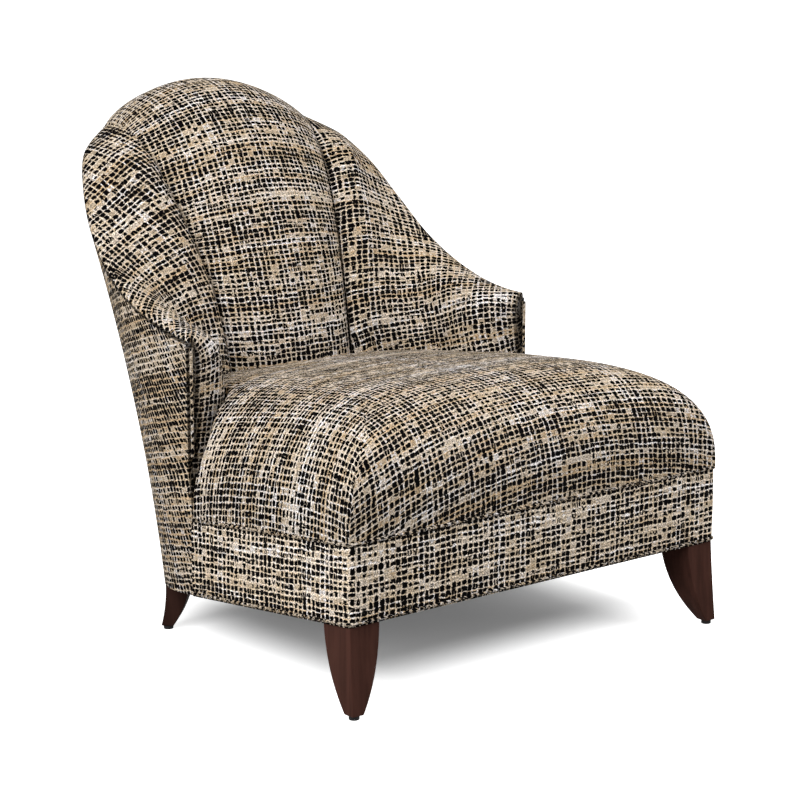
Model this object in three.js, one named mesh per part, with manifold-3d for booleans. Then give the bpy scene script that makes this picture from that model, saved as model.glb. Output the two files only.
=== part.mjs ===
// Slipper chair with a crowned T-shaped seat, a raked barrel back in three padded panels and short low arms.
// Millimetres, +Z up, the front of the chair faces -Y. The origin is on the floor, under the box's middle.

import * as THREE from 'three';
import { mergeVertices } from 'three/addons/utils/BufferGeometryUtils.js';
import Module from 'manifold-3d';

const wasm = await Module();
wasm.setup();

// Overall sizes. Heights called "level" are measured before the body is tipped back.
const frontY = -400;
const tilt = 0.104;
const hemLevel = 147;
const seamLevel = 277;
const crownHeight = 230;
const gap = 0.4;

// The floor's offset to the middle of the chair's depth, taken off every piece at the end.
const depthShift = -93.5;

// Wall of the arms and back, from the outer cover inwards.
const coverThickness = 8;
const frameNear = 10;
const frameFar = 30;
const padBack = 36;
const wingThickness = 66;
const armThickness = 106;
const frameDrop = 36;

// Where the wall is divided, counted from 0 at the rear centre to 1 at the front of an arm.
const grooveAt = 0.205;
const coverSeamAt = 0.45;

// Outline of the wall at the hem and along its top seam, from an arm's front to the rear centre.
const hemOutline = [
  [398, 15], [396, 46], [391, 84], [380, 120], [362, 154], [334, 184],
  [292, 210], [232, 232], [158, 246], [80, 253], [0, 255],
];
const seamOutline = [
  [375, 57, 517], [373, 105, 524], [369, 170, 538], [367, 240, 563], [361, 315, 606], [348, 385, 670],
  [322, 446, 738], [284, 500, 786], [216, 550, 821], [112, 584, 862], [0, 596, 880],
];

// Valley between the centre panel and a wing, and the centre panel's middle line, both from the
// deck up the front, over the top and down to the rear seam.
const grooveLine = [
  [136, 250, 232], [137, 263, 340], [138, 276, 430], [146, 304, 545], [160, 338, 627], [174, 378, 705],
  [187, 425, 778], [197, 463, 815], [204, 496, 830], [208, 524, 834], [211, 545, 829],
];
const middleLine = [
  [0, 216, 232], [0, 227, 340], [0, 240, 430], [0, 268, 545], [0, 300, 640], [0, 340, 735],
  [0, 388, 818], [0, 436, 868], [0, 490, 899], [0, 545, 908], [0, 582, 898],
];

// Legs.
const frontLegTop = 58;
const frontLegTopDepth = 66;
const frontLegFoot = 22;
const rearLegFoot = 21;
const legEndZ = 7;
const glideRadius = 8.5;
const frontFoot = [391, -398];
const rearFoot = [344, 173];

const fabric = { color: 0xb5a994, roughness: 0.95, metalness: 0 };
const outerFabric = { color: 0xa5967e, roughness: 0.95, metalness: 0 };
const foam = { color: 0xe6dcc0, roughness: 0.9, metalness: 0 };
const hardwood = { color: 0xb58a5a, roughness: 0.7, metalness: 0 };
const espresso = { color: 0x2e1a13, roughness: 0.35, metalness: 0 };
const steel = { color: 0x8c8f93, roughness: 0.35, metalness: 1 };
const plastic = { color: 0x161616, roughness: 0.5, metalness: 0 };
const cambric = { color: 0x1d1d1f, roughness: 0.95, metalness: 0 };
const jute = { color: 0x9a7b4f, roughness: 1, metalness: 0 };

const chair = new THREE.Group();
const body = new THREE.Group();
chair.add(body);
body.position.y = depthShift;

const fall = (y) => tilt * (y - frontY);
const heightAt = (level, y) => level - fall(y);
const mix = (a, b, k) => a + (b - a) * k;
const clamp01 = (k) => Math.min(Math.max(k, 0), 1);

function addPiece(name, geometry, look) {
  const mesh = new THREE.Mesh(geometry, new THREE.MeshStandardMaterial(look));
  mesh.name = name;
  body.add(mesh);
  return mesh;
}

// Smooth curve through a list of points, read by a share from 0 to 1 of its points.
function curveThrough(points) {
  const vectors = points.map(([x, y, z = 0]) => new THREE.Vector3(x, y, z));
  const curve = new THREE.CatmullRomCurve3(vectors, false, 'centripetal');
  return (k) => curve.getPoint(clamp01(k));
}

// The same for an outline that ends at the chair's middle, where it runs on into its mirror image.
function halfCurve(points) {
  const [x, y, z] = points[points.length - 2];
  const curve = curveThrough([...points, [-x, y, z]]);
  return (k) => curve((clamp01(k) * (points.length - 1)) / points.length);
}

const hemCurve = halfCurve(hemOutline);
const seamCurve = halfCurve(seamOutline);
const grooveCurve = curveThrough(grooveLine);
const middleCurve = curveThrough(middleLine);

// Closed solid between two grids of points with the same rows and columns. The diagonals of its quads
// are mirrored about the middle column, so that a symmetrical grid gives a symmetrical solid.
function solidBetween(front, back) {
  const rows = front.length;
  const columns = front[0].length;
  const corners = [];
  for (const grid of [front, back]) {
    for (const row of grid) {
      for (const point of row) corners.push(point.x, point.y, point.z);
    }
  }
  const total = rows * columns;
  const faces = [];
  const quad = (a, b, c, d) => faces.push(a, b, c, a, c, d);
  const at = (side, r, c) => side * total + r * columns + c;
  for (let r = 0; r < rows - 1; r += 1) {
    for (let c = 0; c < columns - 1; c += 1) {
      if (c < (columns - 1) / 2) {
        quad(at(0, r, c), at(0, r, c + 1), at(0, r + 1, c + 1), at(0, r + 1, c));
        quad(at(1, r, c), at(1, r + 1, c), at(1, r + 1, c + 1), at(1, r, c + 1));
      } else {
        quad(at(0, r, c + 1), at(0, r + 1, c + 1), at(0, r + 1, c), at(0, r, c));
        quad(at(1, r, c + 1), at(1, r, c), at(1, r + 1, c), at(1, r + 1, c + 1));
      }
    }
  }
  const top = rows - 1;
  for (let c = 0; c < columns - 1; c += 1) {
    if (c < (columns - 1) / 2) {
      quad(at(0, 0, c + 1), at(0, 0, c), at(1, 0, c), at(1, 0, c + 1));
      quad(at(0, top, c), at(0, top, c + 1), at(1, top, c + 1), at(1, top, c));
    } else {
      quad(at(0, 0, c), at(1, 0, c), at(1, 0, c + 1), at(0, 0, c + 1));
      quad(at(0, top, c + 1), at(1, top, c + 1), at(1, top, c), at(0, top, c));
    }
  }
  for (let r = 0; r < rows - 1; r += 1) {
    quad(at(0, r, 0), at(0, r + 1, 0), at(1, r + 1, 0), at(1, r, 0));
    const last = columns - 1;
    quad(at(0, r, last), at(1, r, last), at(1, r + 1, last), at(0, r + 1, last));
  }
  const geometry = new THREE.BufferGeometry();
  geometry.setAttribute('position', new THREE.Float32BufferAttribute(corners, 3));
  geometry.setIndex(faces);
  return facesOut(geometry);
}

// Turns a closed mesh inside out where its volume comes out negative.
function facesOut(geometry) {
  const place = geometry.getAttribute('position');
  const index = geometry.getIndex().array;
  const [a, b, c] = [new THREE.Vector3(), new THREE.Vector3(), new THREE.Vector3()];
  let volume = 0;
  for (let i = 0; i < index.length; i += 3) {
    a.fromBufferAttribute(place, index[i]);
    b.fromBufferAttribute(place, index[i + 1]);
    c.fromBufferAttribute(place, index[i + 2]);
    volume += a.dot(b.cross(c));
  }
  if (volume < 0) {
    for (let i = 0; i < index.length; i += 3) [index[i], index[i + 1]] = [index[i + 1], index[i]];
  }
  return geometry;
}

// Closed solid through rings of points, with flat ends.
function solidThrough(rings) {
  const sides = rings[0].length;
  const corners = [];
  for (const ring of rings) {
    for (const point of ring) corners.push(point.x, point.y, point.z);
  }
  const faces = [];
  for (let r = 0; r < rings.length - 1; r += 1) {
    for (let s = 0; s < sides; s += 1) {
      const next = (s + 1) % sides;
      const [low, high] = [r * sides, (r + 1) * sides];
      faces.push(low + s, low + next, high + next, low + s, high + next, high + s);
    }
  }
  const last = (rings.length - 1) * sides;
  for (let s = 1; s < sides - 1; s += 1) {
    faces.push(0, s + 1, s);
    faces.push(last, last + s, last + s + 1);
  }
  const geometry = new THREE.BufferGeometry();
  geometry.setAttribute('position', new THREE.Float32BufferAttribute(corners, 3));
  geometry.setIndex(faces);
  return facesOut(geometry);
}

// Round tube through points, with a ring at each point. The path never runs along "up".
function tubeThrough(points, radius, sides, up = new THREE.Vector3(0, 0, 1)) {
  const rings = points.map((point, i) => {
    const before = points[Math.max(i - 1, 0)];
    const after = points[Math.min(i + 1, points.length - 1)];
    const along = after.clone().sub(before).normalize();
    const across = along.clone().cross(up).normalize();
    const over = across.clone().cross(along).normalize();
    return Array.from({ length: sides }, (_, s) => {
      const angle = (2 * Math.PI * s) / sides;
      return point.clone()
        .addScaledVector(across, radius * Math.cos(angle))
        .addScaledVector(over, radius * Math.sin(angle));
    });
  });
  return solidThrough(rings);
}

// The same solid on the other side of the chair.
function mirrored(geometry) {
  const copy = geometry.clone();
  copy.scale(-1, 1, 1);
  return facesOut(copy);
}

function toSolid(geometry) {
  const bare = geometry.clone();
  for (const name of ['normal', 'uv']) {
    if (bare.getAttribute(name)) bare.deleteAttribute(name);
  }
  const merged = mergeVertices(bare, 1e-4);
  return new wasm.Manifold(new wasm.Mesh({
    numProp: 3,
    vertProperties: merged.getAttribute('position').array,
    triVerts: Uint32Array.from(merged.getIndex().array),
  }));
}

function toGeometry(solid) {
  const mesh = solid.getMesh();
  const geometry = new THREE.BufferGeometry();
  geometry.setAttribute('position', new THREE.BufferAttribute(mesh.vertProperties, 3));
  geometry.setIndex(new THREE.BufferAttribute(mesh.triVerts, 1));
  return geometry;
}

function cut(geometry, ...tools) {
  let solid = toSolid(geometry);
  for (const tool of tools) solid = solid.subtract(toSolid(tool));
  return toGeometry(solid);
}

const smooth = (k) => clamp01(k) ** 2 * (3 - 2 * clamp01(k));

// Outer face of the wall. "around" is 0 at the rear centre and -1 or 1 at an arm's front, "up" is 0
// at the hem and 1 at the top seam, and "depth" goes inwards, square to the face in plan.
function wallFace(around, up) {
  const side = around < 0 ? -1 : 1;
  const hem = hemCurve(1 - Math.abs(around));
  const seam = seamCurve(1 - Math.abs(around));
  const lean = up * (0.62 + 0.38 * up);
  const nearFront = clamp01((Math.abs(around) - 0.8) / 0.2);
  const share = mix(lean, smooth((up - 0.31) / 0.2), nearFront);
  return new THREE.Vector3(
    side * mix(hem.x, seam.x, share),
    mix(hem.y, seam.y, share),
    mix(heightAt(hemLevel, hem.y), seam.z, up),
  );
}

function wallPoint(around, up, depth) {
  const point = wallFace(around, up);
  const step = 0.01;
  const from = wallFace(Math.max(around - step, -1), up);
  const to = wallFace(Math.min(around + step, 1), up);
  const along = new THREE.Vector2(to.x - from.x, to.y - from.y).normalize();
  point.x += along.y * depth;
  point.y -= along.x * depth;
  point.z += tilt * along.x * depth * (1 - up);
  return point;
}

// Share of the wall's height at a given drop below its top seam, or at a level above the hem.
function upBelowSeam(around, drop) {
  const seamZ = wallFace(around, 1).z;
  return 1 - drop / (seamZ - wallFace(around, 0).z);
}

function upAtLevel(around, level) {
  let up = 0.2;
  for (let i = 0; i < 8; i += 1) {
    const point = wallFace(around, up);
    const bottom = wallFace(around, 0).z;
    up += (heightAt(level, point.y) - point.z) / (wallFace(around, 1).z - bottom);
  }
  return up;
}

// Board or skin bent to the wall, between two places around it, two heights and two depths.
function wallBoard({ from, to, low, high, near, far, columns, rows = 1 }) {
  const grid = (depth) => Array.from({ length: rows + 1 }, (_, r) => (
    Array.from({ length: columns + 1 }, (__, c) => {
      const around = mix(from, to, c / columns);
      return wallPoint(around, mix(low(around), high(around), r / rows), depth);
    })
  ));
  return solidBetween(grid(near), grid(far));
}

// Share of a curve's points at which it reaches a height, on its rising part.
function shareAtHeight(curve, z, top = 0.8) {
  let [low, high] = [0, top];
  for (let i = 0; i < 24; i += 1) {
    const middle = (low + high) / 2;
    if (curve(middle).z < z) low = middle;
    else high = middle;
  }
  return (low + high) / 2;
}

// Rows that the three back pads share, so that their side walls run side by side in the grooves.
const faceRows = 12;
const rollRows = 9;
const noseAt = 0.86;
const noseInset = 16;
const rollDrop = 38;
const rollRise = 24;
const sideGap = 0.002;

// How far a wing stands forward beside its groove, and the height over which its face changes from
// the wall's own curve to the wide sweep.
const wingSwell = 22;
const sweepHeight = 200;
const sweepFromGroove = 72;
const sweepToArm = [8, 105];
const rollStart = shareAtHeight(grooveCurve, seamCurve(1 - grooveAt).z - rollDrop);

// Inner face of the right wing at a height. It starts in the groove and swells beside it. Under the
// crest it follows the wall, and lower down it sweeps round to the arm in one wide curve.
function wingFace(a, z) {
  const groove = grooveCurve(shareAtHeight(grooveCurve, z));
  const depth = mix(wingThickness, armThickness, smooth((a - 0.5) / 0.36));
  const face = pointAtHeight(a, z, depth);
  const beside = pointAtHeight(grooveAt, z, wingThickness);
  const toGroove = 1 - smooth((a - grooveAt) / 0.32);
  face.x += (groove.x - beside.x) * toGroove;
  face.y += (groove.y - beside.y) * toGroove;
  const arm = pointAtHeight(noseAt, z, armThickness);
  const sweep = new THREE.CubicBezierCurve3(
    new THREE.Vector3(groove.x, groove.y, z),
    new THREE.Vector3(groove.x + sweepFromGroove, groove.y, z),
    new THREE.Vector3(arm.x + sweepToArm[0], arm.y + sweepToArm[1], z),
    arm,
  );
  const share = clamp01((a - grooveAt) / (noseAt - grooveAt));
  const belowCrest = wallFace(a, 1).z - rollDrop - z;
  face.lerp(sweep.getPoint(share), smooth(belowCrest / sweepHeight));
  const rise = Math.sqrt(1 - (1 - clamp01((a - grooveAt) / 0.1)) ** 2);
  face.y -= wingSwell * rise * (1 - smooth((a - grooveAt) / 0.4));
  face.x += 1;
  return face;
}

// Height at which a pad's cover is tacked off, out of sight below the seat's crown.
function padLow(around) {
  return mix(grooveLine[0][2], 294, smooth((Math.abs(around) - 0.6) / 0.25));
}

// Outer place of the roll that tops the wall, where it meets the cover's seam.
function seamPoint(around, depth = 0) {
  const point = wallPoint(around, 1, depth);
  point.z += 0.6;
  return point;
}

// One column of a wing's skin, from the deck up its face and over the roll to the seam.
function wingColumn(a) {
  const seam = seamPoint(a);
  const low = padLow(a);
  const high = seam.z - rollDrop;
  const turn = clamp01((a - noseAt) / (1 - noseAt)) * (Math.PI / 2);
  const place = (z) => {
    if (a <= noseAt) return wingFace(a, z);
    const inner = wingFace(noseAt, z);
    const up = clamp01((z - wallFace(1, 0).z) / (wallFace(1, 1).z - wallFace(1, 0).z));
    const outerX = Math.abs(wallFace(noseAt, up).x);
    const frontY = wallFace(1, up).y;
    const reach = outerX - inner.x - noseInset;
    return new THREE.Vector3(
      outerX - noseInset - reach * Math.cos(turn) ** 0.9,
      inner.y - (inner.y - frontY) * Math.sin(turn) ** 0.9,
      z,
    );
  };
  const column = [];
  for (let r = 0; r < faceRows; r += 1) column.push(place(mix(low, high, r / (faceRows - 1))));
  const start = column[faceRows - 1];
  const climb = start.clone().sub(place(high - 10)).multiplyScalar(rollDrop / 10);
  const end = seamPoint(a, 4 * smooth((a - 0.76) / 0.12));
  const rollTop = end.clone().setZ(end.z + rollRise);
  const roll = new THREE.CubicBezierCurve3(start, start.clone().add(climb), rollTop, end);
  const nearGroove = clamp01(1 - (a - grooveAt - sideGap) / 0.09);
  for (let r = 1; r <= rollRows; r += 1) {
    const share = r / rollRows;
    const point = roll.getPoint(share);
    if (nearGroove > 0 && r < rollRows) {
      const valley = grooveCurve(mix(rollStart, 1, share));
      valley.x += 1;
      point.lerp(valley, nearGroove ** 1.5);
    }
    column.push(point);
  }
  return column;
}

// Back of a pad's column: down behind the frame boards, across their tops and up to the seam.
function padBackColumn(around, clearOfFrame) {
  const seamZ = wallFace(around, 1).z;
  const low = padLow(around);
  const high = seamZ - frameDrop + 2.5;
  const depth = clearOfFrame ? frameNear - 1 : padBack;
  const column = [];
  for (let r = 0; r < faceRows; r += 1) {
    const z = mix(low, high, r / (faceRows - 1));
    column.push(pointAtHeight(around, z, depth));
  }
  const acrossRows = 3;
  for (let r = 1; r <= rollRows; r += 1) {
    const across = mix(depth, frameNear - 1, clamp01(r / acrossRows));
    const rise = Math.max(r - acrossRows, 0) / (rollRows - acrossRows);
    column.push(pointAtHeight(around, mix(high, seamZ + 0.6, rise), across));
  }
  return column;
}

function pointAtHeight(around, z, depth) {
  const bottom = wallFace(around, 0).z;
  const point = wallPoint(around, Math.min((z - bottom) / (wallFace(around, 1).z - bottom), 1), depth);
  point.z = z;
  return point;
}

function rowsOf(columns) {
  return columns[0].map((_, r) => columns.map((column) => column[r]));
}

function wingPad() {
  const places = [];
  const faceColumns = 13;
  for (let c = 0; c <= faceColumns; c += 1) {
    const share = c / faceColumns;
    places.push(mix(grooveAt + sideGap, noseAt, share ** 1.25));
  }
  places.push(noseAt + sideGap, 0.885, 0.91, 0.935, 0.96, 0.98, 1);
  const front = rowsOf(places.map(wingColumn));
  const back = rowsOf(places.map((a) => padBackColumn(a, a > noseAt)));
  return solidBetween(front, back);
}

// Skin of the centre panel: proud of the grooves, crowned across and arched over the top.
function centrePanelColumn(across) {
  const side = across < 0 ? -1 : 1;
  const edge = Math.abs(across);
  const proud = (1 - edge ** 2.4) ** 0.6;
  const arch = (1 - edge ** 2) ** 0.9;
  const column = [];
  for (let r = 0; r < faceRows + rollRows; r += 1) {
    const highZ = seamCurve(1 - grooveAt).z - rollDrop;
    const onFace = shareAtHeight(grooveCurve, mix(grooveLine[0][2], highZ, r / (faceRows - 1)));
    const share = r < faceRows ? onFace : mix(rollStart, 1, (r - faceRows + 1) / rollRows);
    const groove = grooveCurve(share);
    const middle = middleCurve(share);
    column.push(new THREE.Vector3(
      side * edge * (groove.x - 2.2),
      mix(groove.y, middle.y, proud),
      mix(groove.z, middle.z, arch),
    ));
  }
  column[column.length - 1] = seamPoint(across * (grooveAt - 0.003));
  return column;
}

function centrePad() {
  const columns = 16;
  const spread = (c) => Math.sin(((c / columns) * 2 - 1) * (Math.PI / 2));
  const places = Array.from({ length: columns + 1 }, (_, c) => spread(c));
  const front = rowsOf(places.map(centrePanelColumn));
  const back = rowsOf(places.map((across) => padBackColumn(across * (grooveAt - 0.003), false)));
  return solidBetween(front, back);
}

// Upright board through matching outer and inner lines in plan, between two levels.
function boardAlong(outer, inner, low, high) {
  const grid = (line) => [low, high].map((level) => (
    line.map(([x, y]) => new THREE.Vector3(x, y, heightAt(level, y)))
  ));
  return solidBetween(grid(outer), grid(inner));
}

function levelBox(x0, x1, y0, y1, low, high) {
  return boardAlong([[x0, y0], [x1, y0]], [[x0, y1], [x1, y1]], low, high);
}

const faceX = 401;
const faceY = -401;
const bandEnd = 14;
const cornerRadius = 9;
const railLow = 150;
const railHigh = 262;
const railInner = faceX - coverThickness - gap - 24;

// Outline of the base in front of the wall, at a distance inside its outer face.
function baseOutline(inset) {
  const x = faceX - inset;
  const y = faceY + inset;
  const radius = Math.max(cornerRadius - inset, 1);
  const corner = (side) => [0, 1, 2, 3, 4].map((k) => {
    const angle = (k / 4) * (Math.PI / 2);
    return [side * (x - radius + radius * Math.cos(angle)), y + radius - radius * Math.sin(angle)];
  });
  const sideStops = [bandEnd, -120, -260];
  return [
    ...sideStops.map((stop) => [-x, stop]),
    ...corner(-1),
    [-x / 3, y],
    [x / 3, y],
    ...corner(1).reverse(),
    ...sideStops.reverse().map((stop) => [x, stop]),
  ];
}

function addBase() {
  const bandBoard = boardAlong(baseOutline(0), baseOutline(coverThickness), hemLevel, 276);
  const band = cut(bandBoard, seamWelt(weltRadius + gap, 20), hemWelt(weltRadius + gap, 20));
  addPiece('base_band', band, fabric);
  const railOuter = railInner + 24;
  const railHalf = railOuter - 6;
  addPiece('front_rail', levelBox(-railHalf, railHalf, -railOuter, -railInner, railLow, railHigh), hardwood);
  for (const [name, side] of [['left', -1], ['right', 1]]) {
    const straightRail = levelBox(side * railInner, side * 383, gap - railInner, 40, railLow, railHigh);
    const curvedRail = wallBoard({
      from: side * 0.7,
      to: side * 0.98,
      low: (around) => upAtLevel(around, railLow),
      high: (around) => upAtLevel(around, railHigh),
      near: frameNear,
      far: frameFar,
      columns: 6,
      rows: 3,
    });
    addPiece(`${name}_side_rail`, toGeometry(toSolid(straightRail).add(toSolid(curvedRail))), hardwood);
    const reach = railInner - gap;
    const frontBlock = boardAlong(
      [[side * reach, -reach], [side * (reach - 70), -reach]],
      [[side * reach, 70 - reach], [side * (reach - 12), 70 - reach]],
      railLow + 4,
      railHigh - 8,
    );
    addPiece(`front_${name}_corner_block`, cut(frontBlock, boltHole(side, frontBolt)), hardwood);
    const rearBlock = wallBoard({
      from: side * 0.52,
      to: side * 0.685,
      low: (around) => upAtLevel(around, railLow + 4),
      high: (around) => upAtLevel(around, railHigh - 8),
      near: frameNear,
      far: 74,
      columns: 3,
    });
    addPiece(`rear_${name}_corner_block`, cut(rearBlock, boltHole(side, rearBolt)), hardwood);
  }
  addPiece('rear_rail', wallBoard({
    from: -0.51,
    to: 0.51,
    low: (around) => upAtLevel(around, railLow),
    high: (around) => upAtLevel(around, railHigh),
    near: frameNear,
    far: frameFar,
    columns: 16,
  }), hardwood);
}

// Flat sheet over the base at a level, with its edge a little inside the frame's outer face.
function baseSheet(inset, wallUp, wallDepth, level, thickness) {
  const shape = new THREE.Shape();
  const reach = faceX - inset;
  shape.moveTo(-reach, -reach);
  shape.lineTo(reach, -reach);
  shape.lineTo(reach, 4);
  const steps = 24;
  for (let i = 0; i <= steps; i += 1) {
    const point = wallPoint(mix(0.96, -0.96, i / steps), wallUp, wallDepth);
    shape.lineTo(point.x, point.y);
  }
  shape.lineTo(-reach, 4);
  const options = { depth: thickness, bevelEnabled: false, curveSegments: 1 };
  const geometry = new THREE.ExtrudeGeometry(shape, options);
  const place = geometry.getAttribute('position');
  for (let i = 0; i < place.count; i += 1) {
    place.setZ(i, place.getZ(i) + heightAt(level, place.getY(i)));
  }
  return geometry;
}

const springWire = 1.8;
const springLevel = 265;

// Sinuous spring from the front rail to the rear rail, bent to and fro in one plane.
function addSprings() {
  const places = [-204, -102, 0, 102, 204];
  places.forEach((x, i) => {
    let around = 0;
    for (let k = 0; k < 40; k += 1) around -= (wallPoint(around, 0.2, 26).x - x) * 0.0006;
    const start = -374;
    const end = wallPoint(around, 0.2, 26).y;
    const bends = 12;
    const points = [];
    for (let k = 0; k <= bends; k += 1) {
      const y = mix(start, end, k / bends);
      const swing = k % 2 === 0 ? -20 : 20;
      if (k > 0) points.push([x + swing, y - (end - start) / bends / 2 + 8]);
      points.push([x + swing, y - 5], [x + swing * 0.7, y]);
      if (k < bends) points.push([x - swing * 0.7, y], [x - swing, y + 5]);
    }
    const path = points.map(([px, py]) => new THREE.Vector3(px, py, heightAt(springLevel, py)));
    addPiece(`seat_spring_${i + 1}`, tubeThrough(path, springWire, 5), steel);
  });
}

function addFrame() {
  const level = (value) => (around) => upAtLevel(around, value);
  const below = (drop) => (around) => upBelowSeam(around, drop);
  const zone = { near: frameNear, far: frameFar };
  const board = (name, shape) => addPiece(name, wallBoard({ ...zone, rows: 1, ...shape }), hardwood);
  const foot = level(railHigh + gap);
  for (const [name, side] of [['left', -1], ['right', 1]]) {
    board(`${name}_arm_post`, {
      from: side * 0.78, to: side * 0.835, low: foot, high: below(frameDrop), columns: 1, rows: 8,
    });
    board(`${name}_arm_rail`, {
      from: side * 0.505, to: side * 0.777, low: below(62), high: below(frameDrop), columns: 8,
    });
    board(`${name}_back_post`, {
      from: side * 0.43, to: side * 0.502, low: foot, high: below(frameDrop), columns: 1, rows: 6,
    });
    board(`${name}_back_upright`, {
      from: side * 0.165, to: side * 0.2, low: foot, high: below(frameDrop + 40), columns: 1, rows: 6,
    });
    board(`${name}_arm_lower_rail`, {
      from: side * 0.505, to: side * 0.777, low: level(300), high: level(330), columns: 8,
    });
  }
  board('back_top_rail', {
    from: -0.427, to: 0.427, low: below(frameDrop + 38), high: below(frameDrop), columns: 18,
  });
  board('back_lower_rail', {
    from: -0.162, to: 0.162, low: level(400), high: level(436), columns: 5,
  });
  [0.52, 0.66, 0.8].forEach((up, i) => {
    board(`back_web_${i + 1}`, {
      from: -0.162, to: 0.162, low: () => up, high: () => up + 0.06, near: 30, far: 32, columns: 5,
    });
  });
}

function addOutsidePanels() {
  const cover = { low: () => 0, high: () => 0.9985, near: 0, far: coverThickness, rows: 7 };
  const panels = [
    ['outside_left_arm_panel', -0.9985, -coverSeamAt - 0.001, 12],
    ['outside_back_panel', -coverSeamAt + 0.001, coverSeamAt - 0.001, 20],
    ['outside_right_arm_panel', coverSeamAt + 0.001, 0.9985, 12],
  ];
  for (const [name, from, to, columns] of panels) {
    addPiece(name, wallBoard({ ...cover, from, to, columns }), outerFabric);
  }
}

// Widths of the seat's round shoulders, and how sharply they meet in the mitre at a front corner.
const sideShoulder = 314;
const frontShoulder = 400;
const mitreSharpness = 9.6;
const seatRearFall = 0.04;

// Height of the seat's crown over its lower edge, round-shouldered at the sides and front, with the
// two shoulders meeting in a mitre at the front corners and a slight fall towards the back.
function seatCrown(x, y) {
  const shoulder = (distance, width, fullness) => {
    const rest = 1 - clamp01(Math.max(distance, 0) / width);
    return Math.max(1 - rest ** fullness, 0) ** (1 / fullness) + 1e-4;
  };
  const sideShare = shoulder(faceX - Math.abs(x), sideShoulder, 2.3);
  const frontShare = shoulder(y - faceY, frontShoulder, 2.96);
  const joined = (sideShare ** -mitreSharpness + frontShare ** -mitreSharpness) ** (-1 / mitreSharpness);
  return crownHeight * joined * (1 - seatRearFall * (Math.max(y, 0) / 250) ** 2);
}

// Where the back pads' faces stand at a height, as a list from the middle to the arm.
function innerOutline(z) {
  const share = shareAtHeight(grooveCurve, z);
  const groove = grooveCurve(share);
  const middle = middleCurve(share);
  const line = [];
  for (let k = 0; k <= 8; k += 1) {
    line.push([groove.x * (k / 8), mix(groove.y, middle.y, (1 - (k / 8) ** 2.4) ** 0.6)]);
  }
  for (let k = 1; k <= 24; k += 1) {
    const point = wingFace(mix(grooveAt, noseAt, k / 24), z);
    line.push([point.x, point.y]);
  }
  return line;
}

function limitOn(line, x) {
  const reach = Math.abs(x);
  for (let i = 1; i < line.length; i += 1) {
    const [x0, y0] = line[i - 1];
    const [x1, y1] = line[i];
    if (reach <= x1) return mix(y0, y1, clamp01((reach - x0) / (x1 - x0)));
  }
  return line[line.length - 1][1];
}

const coreSpare = 2.5;
const seatBottom = 278.5;
const seatCoreHalf = 236;
const seatCoreFront = -322;
const seatCoreRear = 150;
const seatCoreHigh = 404;
const seatRearSpare = 5;
const padOutlines = [240, 300, 360, 415].map(innerOutline);

// The seat's rear edge stays ahead of the back pads at every height.
const rearLimit = (x) => Math.min(...padOutlines.map((line) => limitOn(line, x))) - seatRearSpare;

// Half width of the seat where it steps in behind the arm fronts, as pairs of depth and half width.
const seatStep = [[48, 326], [60, 298], [78, 276], [102, 262]];
const seatRearHalf = 258;

function seatGrid(top) {
  const frontRows = 14;
  const rearRows = 5;
  const halfColumns = 13;
  const columnsAt = (place) => {
    const row = [];
    for (let c = -halfColumns; c <= halfColumns; c += 1) {
      const [x, y] = place(Math.sin((c / halfColumns) * (Math.PI / 2)));
      const level = seatBottom + (top ? 0.8 + seatCrown(x, y) : 0);
      row.push(new THREE.Vector3(x, y, heightAt(level, y)));
    }
    return row;
  };
  const rows = [];
  for (let r = 0; r <= frontRows; r += 1) {
    rows.push(columnsAt((across) => {
      const x = across * faceX;
      const stepY = 44 - 34 * smooth((Math.abs(x) - 315) / 65);
      return [x, mix(faceY, stepY, 1 - Math.cos((r / frontRows) * (Math.PI / 2)))];
    }));
  }
  for (const [y, half] of seatStep) rows.push(columnsAt((across) => [across * half, y]));
  const lastStep = seatStep[seatStep.length - 1][0];
  for (let r = 1; r <= rearRows; r += 1) {
    rows.push(columnsAt((across) => {
      const x = across * seatRearHalf;
      return [x, mix(lastStep, rearLimit(x), r / rearRows)];
    }));
  }
  return rows;
}

function addCushions() {
  const coreBox = (spare, low) => levelBox(
    -seatCoreHalf - spare,
    seatCoreHalf + spare,
    seatCoreFront - spare,
    seatCoreRear + spare,
    low,
    seatCoreHigh + spare,
  );
  const seatCore = coreBox(0, seatBottom + 0.2);
  const seatHollow = coreBox(gap, seatBottom - 20);
  const seatSkin = solidBetween(seatGrid(true), seatGrid(false));
  const seat = cut(seatSkin, seatHollow, seamWelt(weltRadius + gap, 20));
  addPiece('seat_cushion_cover', seat, fabric);
  addPiece('seat_foam_core', seatCore, foam);
  const core = (from, to, far, spare) => wallBoard({
    from,
    to,
    low: (around) => upAtLevel(around, 330 - spare),
    high: (around) => upBelowSeam(around, 92 - spare),
    near: spare ? 30 : padBack + gap,
    far: far + 2 * spare,
    columns: 9,
    rows: 4,
  });
  addPiece('centre_back_cover', cut(centrePad(), core(-0.144, 0.144, 76, coreSpare)), fabric);
  addPiece('centre_back_foam', core(-0.14, 0.14, 76, 0), foam);
  const wingCover = cut(wingPad(), core(0.324, 0.766, 54, coreSpare));
  const wingFoam = core(0.33, 0.76, 54, 0);
  addPiece('left_wing_cover', mirrored(wingCover), fabric);
  addPiece('right_wing_cover', wingCover, fabric);
  addPiece('left_wing_foam', mirrored(wingFoam), foam);
  addPiece('right_wing_foam', wingFoam, foam);
}

const frontBolt = [349, -349];
const rearBolt = [322, 152];
const boltRadius = 4;

function boltHole(side, [x, y]) {
  const hole = new THREE.CylinderGeometry(boltRadius + 0.3, boltRadius + 0.3, 400, 12);
  hole.rotateX(Math.PI / 2);
  hole.translate(side * x, y, 200);
  return hole;
}

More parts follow.
